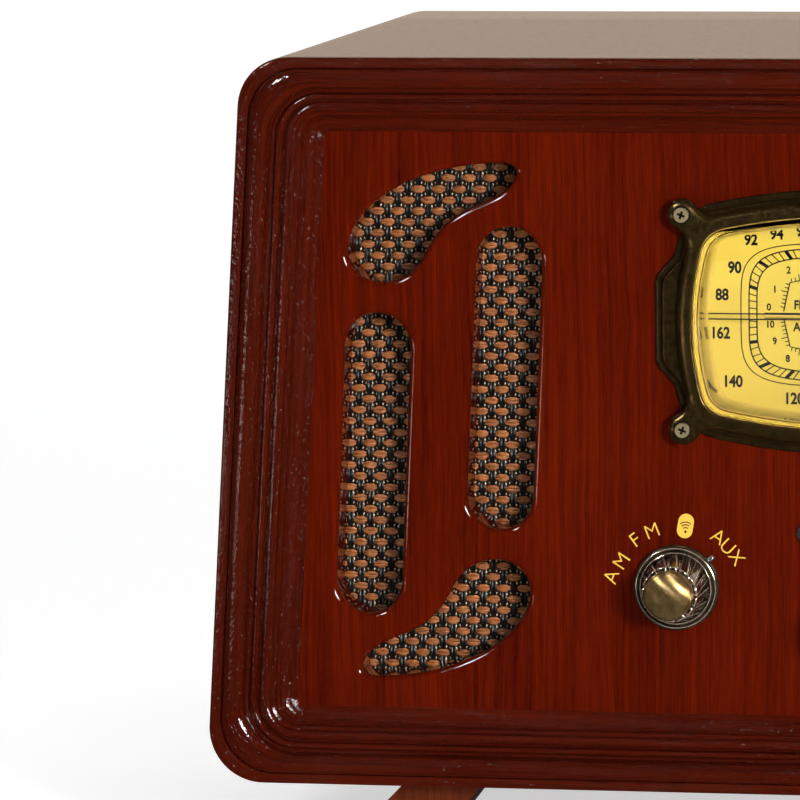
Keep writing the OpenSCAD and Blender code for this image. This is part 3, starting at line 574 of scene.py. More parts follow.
# ---------- grille cloth ----------
def tube(points, wide, deep, swell=None, sides=6):
    """An oval tube along points: half its width and half its depth, and its swelling at each point."""
    points = np.asarray(points, float)
    n = len(points)
    verts, faces = [], []
    for j, p in enumerate(points):
        k = swell[j] if swell is not None else 1.0
        for i in range(sides):
            a = 2 * math.pi * i / sides
            verts.append(p + wide * math.cos(a) * k + deep * math.sin(a))
    for j in range(n - 1):
        for i in range(sides):
            k = (i + 1) % sides
            faces.append((j * sides + i, j * sides + k, (j + 1) * sides + k, (j + 1) * sides + i))
    faces.append(tuple(range(sides)))
    faces.append(tuple((n - 1) * sides + i for i in reversed(range(sides))))
    return verts, faces


def weave(side):
    lo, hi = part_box("grille_cloth_" + side)
    base_y = hi.y - 0.05 * MM
    flat = [(lo.x, base_y, lo.z), (hi.x, base_y, lo.z), (hi.x, base_y, hi.z), (lo.x, base_y, hi.z)]
    sheet = link("grille_cloth_" + side + "_ground",
                 make_mesh("ground_" + side, flat, [(0, 1, 2, 3)], None), GROUND_CLOTH,
                 replaces=["grille_cloth_" + side], slot="grille_cloth")
    half_period, row = 3.45 * MM, 3.7 * MM
    y_mid, lift, edge = lo.y + 0.42 * MM, 0.42 * MM, 0.6 * MM
    columns = int((hi.x - lo.x) / half_period)
    rows = int((hi.z - lo.z) / row)
    left = (lo.x + hi.x) / 2 - columns * half_period / 2
    low = (lo.z + hi.z) / 2 - rows * row / 2
    along_x, along_y, along_z = np.eye(3) * MM
    copper, black, beige = [], [], []
    for r in range(rows):
        z = low + (r + 0.5) * row
        jitter = rng.uniform(-0.08, 0.08) * MM
        xs = np.arange(0, columns * 6 + 1) * half_period / 6
        over = np.cos(math.pi * (xs - half_period / 2) / half_period + math.pi * r)
        swell = 0.6 + 0.4 * np.clip(over * 2.6, 0, 1)
        for strand in (-0.58, 0.58):
            points = [(left + x, y_mid - lift * o,
                       z + jitter + strand * MM * k + rng.uniform(-0.05, 0.05) * MM)
                      for x, o, k in zip(xs, over, swell)]
            copper.append(tube(points, 0.64 * along_z, 0.36 * along_y, swell))
        for c in range(r % 2, columns, 2):
            for dx, dz in ((-2.5, -1.55), (-2.5, 1.55), (2.5, -1.55), (2.5, 1.55)):
                x, zz = left + (c + 0.5) * half_period + dx * MM, z + dz * MM
                if lo.x + edge < x < hi.x - edge and lo.z + edge < zz < hi.z - edge:
                    knot = [(x, lo.y + 0.45 * MM, zz - 0.5 * MM), (x, lo.y + 0.3 * MM, zz),
                            (x, lo.y + 0.45 * MM, zz + 0.5 * MM)]
                    beige.append(tube(knot, 0.42 * along_x, 0.26 * along_y, (0.45, 1.0, 0.45)))
    for c in range(columns):
        x = left + (c + 0.5) * half_period
        zs = np.arange(0, rows * 4 + 1) * row / 4
        points = [(x + rng.uniform(-0.05, 0.05) * MM,
                   y_mid + lift * math.cos(math.pi * (z - row / 2) / row + math.pi * c), low + z)
                  for z in zs]
        for strand in (-0.6, 0.6):
            shifted = [(xx + strand * MM, y, zz) for xx, y, zz in points]
            black.append(tube(shifted, 0.6 * along_x, 0.30 * along_y))
    for word, parts, mat in (("weft", copper, COPPER_YARN), ("warp", black, BLACK_YARN),
                             ("knots", beige, BEIGE_YARN)):
        v, f = join_meshes(parts)
        link("grille_cloth_" + side + "_" + word, make_mesh(word + "_" + side, v, f, 60),
                           mat, slot="grille_cloth")


weave("left")
weave("right")

# ---------- dial ----------
BEZEL_FRONT, BEZEL_BACK = (corner.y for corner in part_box("dial_bezel"))
BASE_FRONT, BASE_BACK = (corner.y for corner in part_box("dial_bezel_base"))
base_loops = edge_loops("dial_bezel_base", BASE_FRONT)
bezel_loops = edge_loops("dial_bezel", BEZEL_FRONT)


def grow(loop, by):
    loop = counter_clockwise(loop)
    return loop + outward(loop) * by


base_outer = smoothed(base_loops[0], 0.9 * MM, 2)
opening = smoothed(base_loops[1], 1.0 * MM, 1)
step_y = BASE_BACK - 1.7 * MM
link("bezel_plate", plate("bezel_plate", base_outer, [opening], step_y, BASE_BACK, 0.9 * MM),
     BRONZE_DARK, replaces=["dial_bezel_base"], slot="bronze_dark")
inner_step = smoothed(grow(base_outer, -2.4 * MM), 0.9 * MM, 3)
link("bezel_plate_step", plate("bezel_plate_step", inner_step, [opening], BASE_FRONT, step_y, 0.8 * MM),
     BRONZE_DARK, slot="bronze_dark")
weighted(bpy.data.objects["bezel_plate"])
weighted(bpy.data.objects["bezel_plate_step"])

bezel_outer = smoothed(bezel_loops[0], 0.7 * MM, 3)
bezel_open = smoothed(bezel_loops[1], 0.8 * MM, 1)
link("bezel_ring", plate("bezel_ring", bezel_outer, [bezel_open] + bezel_loops[2:], BEZEL_FRONT, BEZEL_BACK,
                         (3.0 * MM, 2.0 * MM), [(0.7 * MM, 0.7 * MM)]),
     BRONZE, replaces=["dial_bezel"], slot="bronze")
weighted(bpy.data.objects["bezel_ring"])


lens_loop = smoothed(counter_clockwise(bezel_loops[1]), 0.9 * MM, 1)
lens_mid = np.array([DIAL.x, DIAL.z])
lens_half = (lens_loop.max(0) - lens_loop.min(0)) / 2


def lens_ring(inset, y):
    """The lens's outline, shrunk by inset mm and set at depth y."""
    return at_depth(lens_mid + (lens_loop - lens_mid) * (lens_half - inset * MM) / lens_half, y)


def lens_piece():
    """A clear cup with a rounded, slightly domed face and a wall back to the scale."""
    front, back = lens_lo.y, scale_lo.y - 0.1 * MM
    wall = 1.6
    outside = [(0.25, back), (0.25, front + 2.6 * MM)]
    for a in np.radians(np.linspace(15, 90, 6)):
        outside.append((0.25 + 2.2 * (1 - math.cos(a)), front + 0.4 * MM + 2.2 * MM * (1 - math.sin(a))))
    outside += [(4.5, front + 0.28 * MM), (9, front + 0.16 * MM), (18, front + 0.04 * MM), (28, front)]
    inside = [(28, front + wall * MM), (18, front + (wall + 0.04) * MM), (9, front + (wall + 0.16) * MM),
              (4.5, front + (wall + 0.28) * MM)]
    for a in np.radians(np.linspace(90, 15, 5)):
        inside.append((0.25 + wall + 1.4 * (1 - math.cos(a)),
                       front + (wall + 0.4) * MM + 1.4 * MM * (1 - math.sin(a))))
    inside += [(0.25 + wall, front + 3.6 * MM), (0.25 + wall, back)]
    n, rows, k = len(lens_loop), len(outside) + len(inside), len(outside)
    verts = np.concatenate([lens_ring(d, y) for d, y in outside + inside])
    faces = []
    for j in range(rows - 1):
        if j == k - 1:
            continue
        for i in range(n):
            m = (i + 1) % n
            faces.append((j * n + i, j * n + m, (j + 1) * n + m, (j + 1) * n + i))
    for i in range(n):
        m = (i + 1) % n
        faces.append(((rows - 1) * n + i, (rows - 1) * n + m, m, i))
    faces.append(tuple(range((k - 1) * n, k * n)))
    faces.append(tuple(reversed(range(k * n, (k + 1) * n))))
    mesh = make_mesh("lens_cup", verts, faces, None)
    fix_normals(mesh)
    shade(mesh, 50)
    link("lens_cup", mesh, LENS, replaces=["dial_lens"], slot="clear_lens")


lens_piece()

# Painted light: an amber wall between the lens and the bezel stands in for the dial's light carried along the
# lens's edge
edge_front, edge_back = BEZEL_FRONT + 0.6 * MM, scale_lo.y - 0.2 * MM
edge_rings = [lens_ring(0.06, edge_front), lens_ring(0.16, edge_front), lens_ring(0.16, edge_back),
              lens_ring(0.06, edge_back)]
link("lens_edge", stack("lens_edge", edge_rings, 40, closed=True), LENS_EDGE_GLOW, slot="clear_lens")


def bar(name, x0, x1, z0, z1, y0, y1, mat, body=ROOT, **more):
    v = [(x, y, z) for x in (x0, x1) for y in (y0, y1) for z in (z0, z1)]
    f = [(0, 1, 3, 2), (4, 6, 7, 5), (0, 4, 5, 1), (2, 3, 7, 6), (0, 2, 6, 4), (1, 5, 7, 3)]
    mesh = make_mesh(name, v, f, None)
    fix_normals(mesh)
    return link(name, mesh, mat, body, **more)


# Painted shade: two thin dark lines stand for the edges of the clear bar across the lens, which look dark by
# refraction
rib_y = CROWN + 25.4 * MM
reach = 50.2 * MM
for word, z in (("upper", 0.9), ("lower", -0.9)):
    bar("lens_rib_edge_shade_" + word, DIAL.x - reach, DIAL.x + reach, DIAL.z + (z - 0.17) * MM,
        DIAL.z + (z + 0.17) * MM, rib_y, rib_y + 1.0 * MM, INK_AND_SHADE, slot="clear_lens")

scale_loop = edge_loops("dial_scale", scale_lo.y)[0]
link("scale_plate", plate("scale_plate", scale_loop, [], scale_lo.y, scale_hi.y), SCALE,
     replaces=["dial_scale"], slot="scale_print")


# Painted shade: dark crosses in the screws' recesses and dark rings round their seats
screws_lo, screws_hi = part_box("bezel_screws")
painted_shade_marks = []
for x in (screws_lo.x + 2.4 * MM, screws_hi.x - 2.4 * MM):
    for z in (screws_lo.z + 2.4 * MM, screws_hi.z - 2.4 * MM):
        around = [(math.cos(a), math.sin(a)) for a in np.linspace(0, 2 * math.pi, 40, endpoint=False)]
        seat = [(x + r * MM * c, BEZEL_FRONT - 0.04 * MM, z + r * MM * q)
                for r in (2.3, 2.95) for c, q in around]
        painted_shade_marks.append((seat, [(i, (i + 1) % 40, 40 + (i + 1) % 40, 40 + i) for i in range(40)]))
        for turn in (20, 110):
            a = math.radians(turn)
            u, w = np.array([math.cos(a), -math.sin(a)]) * 1.34, np.array([math.sin(a), math.cos(a)]) * 0.4
            y = screws_lo.y + 0.12 * MM
            painted_shade_marks.append(([(x + p[0] * MM, y, z + p[1] * MM) for p in (u + w, u - w, -u - w, w - u)],
                               [(0, 1, 2, 3)]))
v, f = join_meshes(painted_shade_marks)
link("bezel_screw_recess_shade", make_mesh("bezel_screw_recess_shade", v, f, None), INK_AND_SHADE, slot="bezel_screw_brass")


# ---------- printing ----------
def print_mesh(name, items, mat, slot=None):
    """Pairs of verts and faces, joined into one printed piece."""
    v, f = join_meshes(items)
    link(name, make_mesh(name, v, f, None), mat, slot=slot)


CAPITAL = 0.729   # height of a capital letter at font size 1


def words(text, height, x, z, y, turn=0.0, thin=0.0, squeeze=1.0):
    """Text of the given capital height, centred on x, z and turned anticlockwise."""
    curve = bpy.data.curves.new("text", "FONT")
    curve.body = text
    curve.size = 1.0
    curve.offset = thin
    curve.resolution_u = 6
    curve.fill_mode = "FRONT"
    o = bpy.data.objects.new("text", curve)
    bpy.context.scene.collection.objects.link(o)
    bpy.context.view_layer.update()
    mesh = bpy.data.meshes.new_from_object(o.evaluated_get(bpy.context.evaluated_depsgraph_get()))
    co = np.array([v.co for v in mesh.vertices], float).reshape(-1, 3)[:, :2]
    faces = [tuple(p.vertices) for p in mesh.polygons]
    bpy.data.objects.remove(o)
    bpy.data.curves.remove(curve)
    bpy.data.meshes.remove(mesh)
    co -= (co.max(0) + co.min(0)) / 2
    co *= height / CAPITAL
    co[:, 0] *= squeeze
    a = math.radians(turn)
    c, s = math.cos(a), math.sin(a)
    verts = [(x + p[0] * c - p[1] * s, y, z + p[0] * s + p[1] * c) for p in co]
    return verts, faces


def stroke(points, width, y, closed=False):
    """A flat line of even width through points (x, z)."""
    p = np.asarray(points, float)
    if closed:
        t = np.roll(p, -1, 0) - np.roll(p, 1, 0)
    else:
        t = np.gradient(p, axis=0)
    n = np.stack([-t[:, 1], t[:, 0]], 1)
    n /= np.maximum(np.linalg.norm(n, axis=1), 1e-9)[:, None]
    a, b = p + n * width / 2, p - n * width / 2
    k = len(p)
    verts = [(q[0], y, q[1]) for q in a] + [(q[0], y, q[1]) for q in b]
    faces = [(i, (i + 1) % k, k + (i + 1) % k, k + i) for i in range(k if closed else k - 1)]
    return verts, faces


def bowed(a, b, power=4.6, n=240):
    t = np.linspace(0, 2 * math.pi, n, endpoint=False)
    c, s = np.cos(t), np.sin(t)
    x = a * np.sign(c) * np.abs(c) ** (2 / power)
    z = b * np.sign(s) * np.abs(s) ** (2 / power)
    return resample(np.stack([x, z], 1), 0.6)


INK = scale_lo.y - 0.08 * MM   # depth of the printing
ink = []
put = lambda p: np.asarray(p, float) * MM + [DIAL.x, DIAL.z]
for text, x, z in (("88", -46.6, 6.5), ("90", -42.3, 15.5), ("92", -36.9, 24.9), ("94", -28.3, 26.9),
                   ("96", -19.6, 28.0), ("98", 0, 28.6), ("100", 19.6, 28.0), ("102", 29.4, 26.8),
                   ("104", 37.6, 24.5), ("106", 42.3, 15.5), ("108", 45.9, 6.5),
                   ("162", -46.9, -6.2), ("140", -42.8, -22.3), ("120", -22.4, -27.8),
                   ("100", 0, -28.6), ("80", 22.4, -27.8), ("60", 42.8, -22.3), ("53", 46.9, -6.2)):
    px, pz = put((x, z))
    ink.append(words(text, 3.85 * MM, px, pz, INK, squeeze=0.84, thin=0.035))
for text, x, z in (("0", -31, 2.5), ("1", -29, 8.4), ("2", -24.4, 14.8), ("3", -8.6, 15.9), ("4", 8.6, 15.9),
                   ("5", 24.4, 14.8), ("6", 29, 8.4), ("7", 31, 2.5), ("10", -30.4, -3.2),
                   ("9", -29.1, -8.8), ("8", -24.8, -14.5), ("7", -8.6, -15.9), ("6", 8.6, -15.9),
                   ("5", 24.8, -14.5), ("4", 29.1, -8.8), ("3", 30.6, -3.2)):
    px, pz = put((x, z))
    ink.append(words(text, 2.35 * MM, px, pz, INK, squeeze=0.9, thin=0.03))
for text, x, z in (("FM", -20.5, 3.3), ("AM", -20.5, -4.0), ("MHz", 19.6, 3.3), ("kHz", 19.6, -4.0)):
    px, pz = put((x, z))
    ink.append(words(text, 3.0 * MM, px, pz, INK, squeeze=0.85, thin=0.03))
for a, b, width in ((40.3, 23.6, 0.34), (37.6, 21.9, 0.42), (35.0, 19.1, 0.42)):
    ink.append(stroke(put(bowed(a, b)), width * MM, INK, True))
outside, inside = bowed(37.6, 21.9, n=400), bowed(35.0, 19.1, n=400)
ticks = 92
for i in range(ticks):
    p = outside[int(round(i / ticks * len(outside))) % len(outside)]
    q = inside[int(round((i + 0.12) / ticks * len(inside))) % len(inside)]
    if abs(p[1]) < 0.9:
        continue
    ink.append(stroke(put([p, q]), (1.15 if i % 4 == 2 else 0.34) * MM, INK))
corner = [(-26.1, 1.1), (-24.0, 10.6), (-20.7, 11.3), (-12, 12.4), (0, 12.8), (12, 12.4), (20.7, 11.3),
          (24.0, 10.6), (26.1, 1.1)]
for flip in (1, -1):
    line = np.array(corner) * [1, flip]
    ink.append(stroke(put(line), 0.4 * MM, INK))
    dense = []
    for p, q in zip(line[:-1], line[1:]):
        steps = max(1, int(np.linalg.norm(q - p) / 0.1))
        dense += [p + (q - p) * i / steps for i in range(steps)]
    dense = np.array(dense)
    gone, count = 0.0, 0
    for i in range(1, len(dense)):
        gone += float(np.linalg.norm(dense[i] - dense[i - 1]))
        if gone >= 1.25:
            gone, count = 0.0, count + 1
            t = dense[i] - dense[i - 1]
            n = np.array([-t[1], t[0]]) / np.linalg.norm(t) * flip
            if abs(dense[i][1]) < 1.8:
                continue
            ink.append(stroke(put([dense[i], dense[i] + n * (2.2 if count % 5 == 0 else 1.3)]),
                              0.32 * MM, INK))
print_mesh("scale_printing", ink, INK_AND_SHADE, slot="scale_print")

# The pointer is a clear double-ended bar; a dark line along each edge is painted shade for the dark look of
# its refracting edges
pointer_lo, pointer_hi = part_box("dial_pointer")
p_mid = (pointer_lo + pointer_hi) / 2
half_len = (pointer_hi.x - pointer_lo.x) / 2
ACRYLIC = glass("pointer_acrylic", (1.0, 0.96, 0.80), 0.02)
bar("pointer_bar", p_mid.x - half_len, p_mid.x + half_len, p_mid.z - 0.9 * MM, p_mid.z + 0.9 * MM,
    pointer_hi.y - 1.0 * MM, pointer_hi.y - 0.2 * MM, ACRYLIC, "pointer", replaces=["dial_pointer"],
    slot="pointer_acrylic")
for word, z in (("upper", 0.85), ("lower", -0.85)):
    bar("pointer_edge_shade_" + word, p_mid.x - half_len, p_mid.x + half_len, p_mid.z + (z - 0.12) * MM,
        p_mid.z + (z + 0.12) * MM, pointer_hi.y - 1.2 * MM, pointer_hi.y - 1.0 * MM, INK_AND_SHADE, "pointer",
        slot="pointer_acrylic")
link("pointer_hub", turned("pointer_hub", [(0.5 * MM, pointer_lo.y), (3.0 * MM, pointer_lo.y),
     (3.6 * MM, pointer_lo.y + 0.5 * MM), (3.6 * MM, pointer_hi.y), (0.5 * MM, pointer_hi.y)],
     (p_mid.x, p_mid.z), 48), BRONZE_DARK, "pointer", slot="pointer_acrylic")


# ---------- knobs ----------
tuning_lo, tuning_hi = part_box("tuning_knob_base")


def knob(word):
    base_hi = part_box(word + "_knob_base")[1]
    cap_lo, cap_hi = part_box(word + "_knob_cap")
    skirt_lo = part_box(word + "_knob_skirt")[0]
    cap_mid = (cap_lo + cap_hi) / 2
    c = (cap_mid.x, cap_mid.z)
    body = word + "_knob"
    r = (tuning_hi.z - tuning_lo.z) / 2 / MM
    front, back, tip = base_hi.y - 2.7 * MM, base_hi.y, cap_lo.y
    rim = [(3, back), (3, front), (r - 3.4, front), (r - 3.1, front - 0.35 * MM), (r - 2.8, front - 0.7 * MM),
           (r - 2.5, front - 0.85 * MM), (r - 2.2, front - 0.7 * MM), (r - 1.9, front + 0.1 * MM),
           (r - 1.7, front + 0.25 * MM), (r - 1.4, front - 0.1 * MM), (r - 1.1, front - 0.28 * MM),
           (r - 0.8, front - 0.2 * MM), (r - 0.4, front + 0.1 * MM), (r - 0.1, front + 0.6 * MM),
           (r, front + 1.2 * MM), (r, back)]
    rim = [(a * MM, y) for a, y in rim]
    ring_piece = link(body + "_rim", turned(body + "_rim", rim, c, 128, 50), KNOB_BRONZE, body,
                      replaces=[word + "_knob_base"], slot="knob_bronze")
    ring_piece.data.materials.append(WORN_GLINT)
    # Two thin rings of the rim take the bright edge metal: wear with painted highlight lines
    for p in ring_piece.data.polygons:
        away = math.hypot(p.center.x - c[0], p.center.z - c[1]) / MM
        if r - 2.6 < away < r - 2.3 or r - 1.0 < away < r - 0.7:
            p.material_index = 1
    if word != "tuning":
        angle = math.radians({"mode": 40, "volume": 225}[word])
        along = np.array([math.cos(angle), 0, math.sin(angle)])
        side = np.array([-math.sin(angle), 0, math.cos(angle)])
        start = np.array([c[0], (front + back) / 2, c[1]]) + along * (r - 2.4) * MM
        loops = []
        for d, s in ((0, 0.9), (4.1, 0.9), (4.45, 0.7), (4.6, 0.35)):
            a = np.linspace(0, 2 * math.pi, 20, endpoint=False)
            loops.append([start + along * d * MM + side * s * MM * math.cos(x)
                          + np.array([0, s * MM * math.sin(x), 0]) for x in a])
        link(body + "_pin", stack(body + "_pin", loops, 50, cap_first=True, cap_last=True), SILVER, body,
             slot="knob_bronze")
    # crown: slanting triangular facets round a cone
    y_in, y_out = skirt_lo.y, front + 0.05 * MM
    r_in, r_out = r - 4.9, r - 2.9
    n, verts, faces = 15, [], []

    def point(radius, angle, y):
        return (c[0] + radius * MM * math.cos(angle), y, c[1] + radius * MM * math.sin(angle))

    step = 2 * math.pi / n
    for i in range(n):
        a = i * step
        near, ridge, valley = a + step * 0.62, a + step * 0.72, a + step * 0.86
        far, end = a + step * 1.16, a + step * 1.36
        verts += [point(r_in, a, y_in), point(r_in, ridge, y_in), point(r_out, near, y_out - 1.2 * MM),
                  point(r_out, far, y_out - 1.2 * MM), point(r_in - 0.4, valley, y_in + 2.6 * MM),
                  point(r_out - 1.6, end, y_out - 1.0 * MM), point(r_out, near, y_out),
                  point(r_out, far, y_out),
                  point(r_out - 1.6, end, y_out), point(r_in - 1.2, a, y_in), point(r_in - 1.2, ridge, y_in),
                  point(r_in - 1.2, valley, y_in + 2.6 * MM)]
    for i in range(n):
        b, e = i * 12, (i + 1) % n * 12
        faces += [(b, b + 1, b + 2), (b + 1, b + 3, b + 2), (b + 1, b + 4, b + 5, b + 3),
                  (b + 4, e, e + 2, b + 5), (b + 2, b + 3, b + 7, b + 6), (b + 3, b + 5, b + 8, b + 7),
                  (b + 5, e + 2, e + 6, b + 8), (b + 9, b + 10, b + 1, b), (b + 10, b + 11, b + 4, b + 1),
                  (b + 11, e + 9, e, b + 4)]
    mesh = make_mesh(body + "_crown", verts, faces, None)
    fix_normals(mesh)
    shade(mesh, 12)
    crown = link(body + "_crown", mesh, KNOB_CROWN, body, replaces=[word + "_knob_skirt"], slot="knob_crown")
    bevel = crown.modifiers.new("bevel", "BEVEL")
    bevel.width, bevel.segments, bevel.limit_method = 0.34 * MM, 2, "ANGLE"
    bevel.angle_limit = math.radians(14)
    # The crown's bevelled edges take the bright edge metal: wear with painted glints
    crown.data.materials.append(WORN_GLINT)
    bevel.material = 1
    # domed cap
    cap_r, dome_r = 8.0, 13.6
    y_edge = tip + 2.75 * MM
    dome = [(cap_r, skirt_lo.y + 0.4 * MM), (cap_r, y_edge + 0.8 * MM), (cap_r - 0.1, y_edge + 0.35 * MM),
            (cap_r - 0.35, y_edge), (cap_r - 0.55, y_edge - 0.1 * MM), (cap_r - 0.72, y_edge + 0.05 * MM)]
    for q in np.linspace(0.90, 0.02, 24):
        dome.append((cap_r * q, tip + (dome_r - math.sqrt(dome_r ** 2 - (cap_r * q) ** 2)) * MM * 0.98))
    mesh = turned(body + "_dome", [(a * MM, y) for a, y in dome], c, 128, 40)
    layer = mesh.uv_layers.new(name="grain")
    slant = math.radians(-42)
    for loop in mesh.loops:
        v = mesh.vertices[loop.vertex_index].co
        layer.data[loop.index].uv = (v.x * math.cos(slant) + v.z * math.sin(slant),
                                     v.z * math.cos(slant) - v.x * math.sin(slant))
    link(body + "_dome", mesh, KNOB_BRASS, body, replaces=[word + "_knob_cap"], slot="knob_brass")


for word in ("mode", "tuning", "volume"):
    knob(word)

# ---------- legends round the selector ----------
mode = middle("mode_knob_cap")
LEGEND = PANEL - 0.06 * MM
legend = []
for letter, r, angle in (("A", 22.3, 172.2), ("M", 20.4, 155.9), ("F", 20.8, 131.8), ("M", 20.3, 114.2),
                         ("A", 21.9, 50.9), ("U", 21.7, 39.0), ("X", 22.3, 27.0)):
    a = math.radians(angle)
    legend.append(words(letter, 5.0 * MM, mode.x + r * MM * math.cos(a), mode.z + r * MM * math.sin(a),
                        LEGEND, (angle - 90) * 0.86, thin=-0.012, squeeze=0.98))
print_mesh("selector_legend", legend, LABEL)


def capsule(cx, cz, r, half_h, turn, y, n=16):
    pts = [(r * math.cos(a), half_h - r + r * math.sin(a)) for a in np.linspace(0, math.pi, n)]
    pts += [(-p[0], -p[1]) for p in pts]
    t = math.radians(turn)
    v = [(cx + p[0] * math.cos(t) - p[1] * math.sin(t), y, cz + p[0] * math.sin(t) + p[1] * math.cos(t))
         for p in pts]
    return v, [tuple(range(len(v)))]


pill_r, pill_angle = 20.5 * MM, math.radians(82)
pill_x = mode.x + pill_r * math.cos(pill_angle)
pill_z = mode.z + pill_r * math.sin(pill_angle)
print_mesh("selector_wireless_mark", [capsule(pill_x, pill_z, 2.6 * MM, 4.1 * MM, -10, LEGEND)], LABEL)
waves = [capsule(pill_x, pill_z - 1.9 * MM, 0.42 * MM, 0.43 * MM, 0, LEGEND - 0.03 * MM)]
for r in (1.35, 2.3, 3.2):
    arc_line = [(pill_x + r * MM * math.sin(a) * 0.9, pill_z - 1.9 * MM + r * MM * math.cos(a))
                for a in np.radians(np.linspace(-38, 38, 12))]
    waves.append(stroke(arc_line, 0.34 * MM, LEGEND - 0.03 * MM))
print_mesh("selector_wireless_waves", waves, INK_AND_SHADE)

# ---------- finishes for the CAD nodes that are shown as they are ----------
FINISH = {
    "rear_panel": (BACK_BOARD, 0.8), "rear_panel_screws": (DARK_STEEL, 0.25),
    "bezel_screws": (SCREW_BRASS, 0.2), "indicator_rings": (SILVER, 0.0),
    "legs_left": (LEG_WOOD, 1.0), "legs_right": (LEG_WOOD, 1.0), "foot_pads": (BLACK, 0.6),
    "rear_sockets": (BLACK, 0.3), "power_switch_frame": (BLACK, 0.5),
    "speaker_basket_left": (DARK_STEEL, 0), "speaker_basket_right": (DARK_STEEL, 0),
    "power_rocker": (plain("rocker_red", (0.30, 0.012, 0.008), 0.25), 0.4),
    "indicator_lenses": (plain("indicator_lens", (0.16, 0.165, 0.17), 0.25, coat=0.8), 0.0),
}
for node in ("leg_screws", "panel_screws", "mode_shaft", "volume_shaft", "tuning_shaft", "bush_nuts",
             "pointer_shaft", "tuner_bracket"):
    FINISH[node] = (ZINC, 0)
# by the start of the node's name: material, colour, roughness, metallic
INSIDES = {
    "speaker_magnet": ("magnet", (0.05, 0.05, 0.055), 0.5, 0.0),
    "speaker_surround": ("surround_rubber", (0.01, 0.01, 0.01), 0.6, 0.0),
    "speaker_cone": ("cone_paper", (0.03, 0.026, 0.022), 0.85, 0.0),
    "dial_light_box": ("white_plastic", (0.78, 0.75, 0.66), 0.5, 0.0),
    "dial_drum": ("drum_plastic", (0.62, 0.58, 0.48), 0.5, 0.0),
    "drive_pulley": ("pulley_plastic", (0.62, 0.58, 0.48), 0.5, 0.0),
    "drive_cord": ("cord_fibre", (0.16, 0.10, 0.05), 0.85, 0.0),
    "tuning_capacitor": ("tuner_case", (0.6, 0.6, 0.58), 0.3, 0.4),
    "tuning_bush": ("bush_brass", (0.5, 0.36, 0.14), 0.35, 1.0),
    "mode_switch": ("switch_body", (0.03, 0.08, 0.05), 0.5, 0.0),
    "volume_control": ("control_case", (0.4, 0.42, 0.45), 0.35, 0.9),
    "main_board": ("board", (0.02, 0.11, 0.05), 0.45, 0.0),
    "board_fixings": ("board_fixing_brass", (0.5, 0.36, 0.14), 0.35, 1.0),
    "amplifier_heatsink": ("heatsink", (0.5, 0.51, 0.52), 0.4, 1.0),
    "mains_transformer": ("transformer", (0.09, 0.07, 0.05), 0.5, 0.3),
    "ferrite_antenna": ("ferrite", (0.04, 0.035, 0.03), 0.5, 0.0),
}
for start, (name, color, rough, metallic) in INSIDES.items():
    mat = plain(name, color, rough, metallic, speckle=0.2)
    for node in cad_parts:
        if node.startswith(start):
            FINISH[node] = (mat, 0)
FINISH["dial_lamps"] = (plain("lamp", (0.9, 0.85, 0.7), 0.2), 0)
for node, (mat, bevel) in FINISH.items():
    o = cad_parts[node]
    for s in o.material_slots:
        s.material = mat
    if not o.material_slots:
        o.data.materials.append(mat)
    if bevel:
        w = o.modifiers.new("weld", "WELD")
        w.merge_threshold = 1e-5
        b = o.modifiers.new("bevel", "BEVEL")
        b.width, b.segments, b.limit_method = bevel * MM, 3, "ANGLE"
        b.angle_limit = math.radians(40)
        b.harden_normals = True

# ---------- studio ----------
world = bpy.data.worlds.new("world")
bpy.context.scene.world = world
world.use_nodes = True
world.node_tree.nodes["Background"].inputs["Color"].default_value = (0.75, 0.80, 0.9, 1)
world.node_tree.nodes["Background"].inputs["Strength"].default_value = 0.02


def glowing(name, color, strength, diffuse=0.0):
    m, t = material(name)
    e = add(t, "Emission", {"Color": rgb(*color), "Strength": strength})
    out = e.outputs["Emission"]
    if diffuse:
        d = add(t, "BsdfDiffuse", {"Color": rgb(diffuse, diffuse, diffuse)})
        out = add(t, "AddShader", {0: out, 1: d.outputs["BSDF"]}).outputs["Shader"]
    add(t, "OutputMaterial", {"Surface": out})
    return m


def quad(name, corners, mat):
    o = bpy.data.objects.new(name, make_mesh(name, corners, [(0, 1, 2, 3)], None))
    bpy.context.scene.collection.objects.link(o)
    o.data.materials.append(mat)
    return o


def lying(name, x, y, z, mat):
    return quad(name, [(x[0], y[0], z), (x[1], y[0], z), (x[1], y[1], z), (x[0], y[1], z)], mat)


def standing(name, start, end, height, mat):
    return quad(name, [(*start, 0), (*end, 0), (*end, height), (*start, height)], mat)


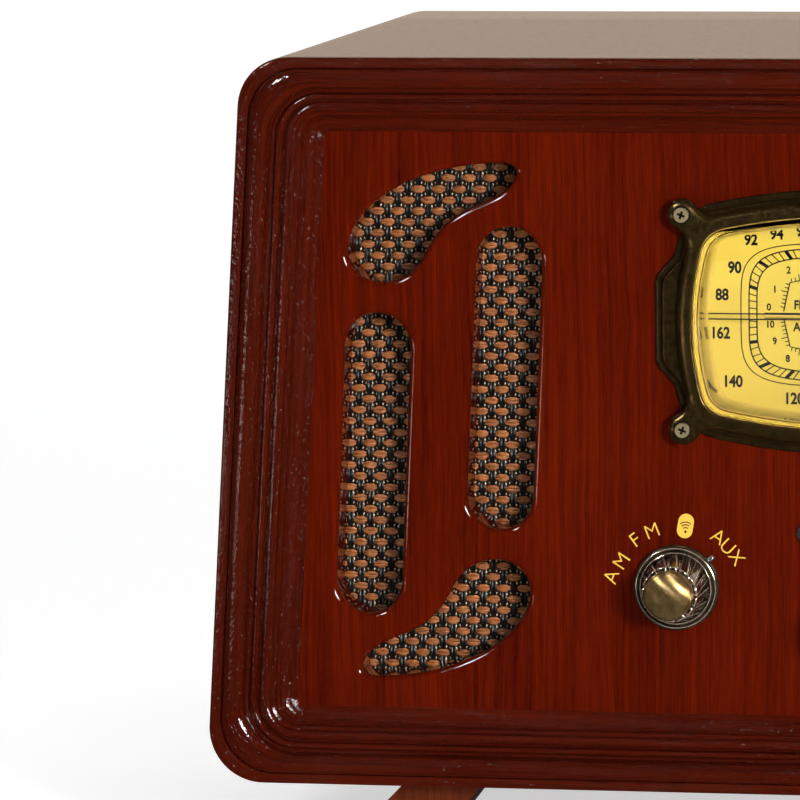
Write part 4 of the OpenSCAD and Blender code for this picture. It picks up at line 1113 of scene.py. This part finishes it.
FLOOR = glowing("floor", (1, 1, 1), 0.56, 0.8)
WHITE = glowing("backdrop", (1, 1, 1), 1.05)
near_floor = lying("floor", (-3, 3), (-0.28, 1.6), 0, FLOOR)
front_floor = lying("floor_front", (-3, 3), (-3, -0.28), 0, FLOOR)
backdrop = standing("backdrop", (-3, 1.6), (3, 1.6), 2.2, WHITE)
backdrop.visible_camera = False
for part in (near_floor, front_floor, backdrop):
    part.visible_glossy = False
# A white room round the stage, seen by the camera only
ROOM = [(-8, -8), (8, -8), (8, 8), (-8, 8)]
walls = [lying("room_floor", (-8, 8), (-8, 8), -1 * MM, WHITE)]
for k, start in enumerate(ROOM):
    walls.append(standing(f"wall_{k}", start, ROOM[k - 3], 9, WHITE))
for part in walls:
    part.visible_glossy = part.visible_diffuse = part.visible_transmission = False
# A card and a strip of floor that show only as reflections
card = standing("card", (-3, 1.7), (3, 1.7), 2.2, glowing("card", (1, 0.80, 0.62), 0.55))
card.visible_camera = card.visible_diffuse = False
glint = lying("glint", (-1.15, -0.85), (-1.7, -0.7), 2 * MM, glowing("glint", (1, 0.9, 0.8), 7))
glint.visible_camera = glint.visible_diffuse = False


def area_light(name, place, target, size, power, color=(1, 1, 1), glossy=True):
    data = bpy.data.lights.new(name, "AREA")
    data.shape = "RECTANGLE"
    data.size, data.size_y = size
    data.energy = power
    data.color = color
    o = bpy.data.objects.new(name, data)
    bpy.context.scene.collection.objects.link(o)
    o.location = place
    o.rotation_euler = (Vector(target) - Vector(place)).to_track_quat("-Z", "Y").to_euler()
    o.visible_glossy = glossy
    o.visible_camera = False
    return o


area_light("key", (1.02, -1.80, 0.52), (-0.04, -0.11, 0.14), (0.40, 0.40), 40, (1, 0.97, 0.92))
area_light("top", (-0.1, -0.25, 1.5), (0, -0.05, 0.2), (1.5, 0.8), 9, glossy=False)
left = area_light("left", (-1.15, -1.37, 1.22), (-0.06, -0.12, 0.1), (0.22, 0.30), 14)
left.visible_diffuse = False
area_light("fill", (0.2, -2.6, 0.9), (0, -0.1, 0.15), (1.4, 1.0), 4, glossy=False)
area_light("rear_fill", (0.9, 2.0, 1.0), (0, 0.1, 0.15), (1.0, 0.8), 14, glossy=False)
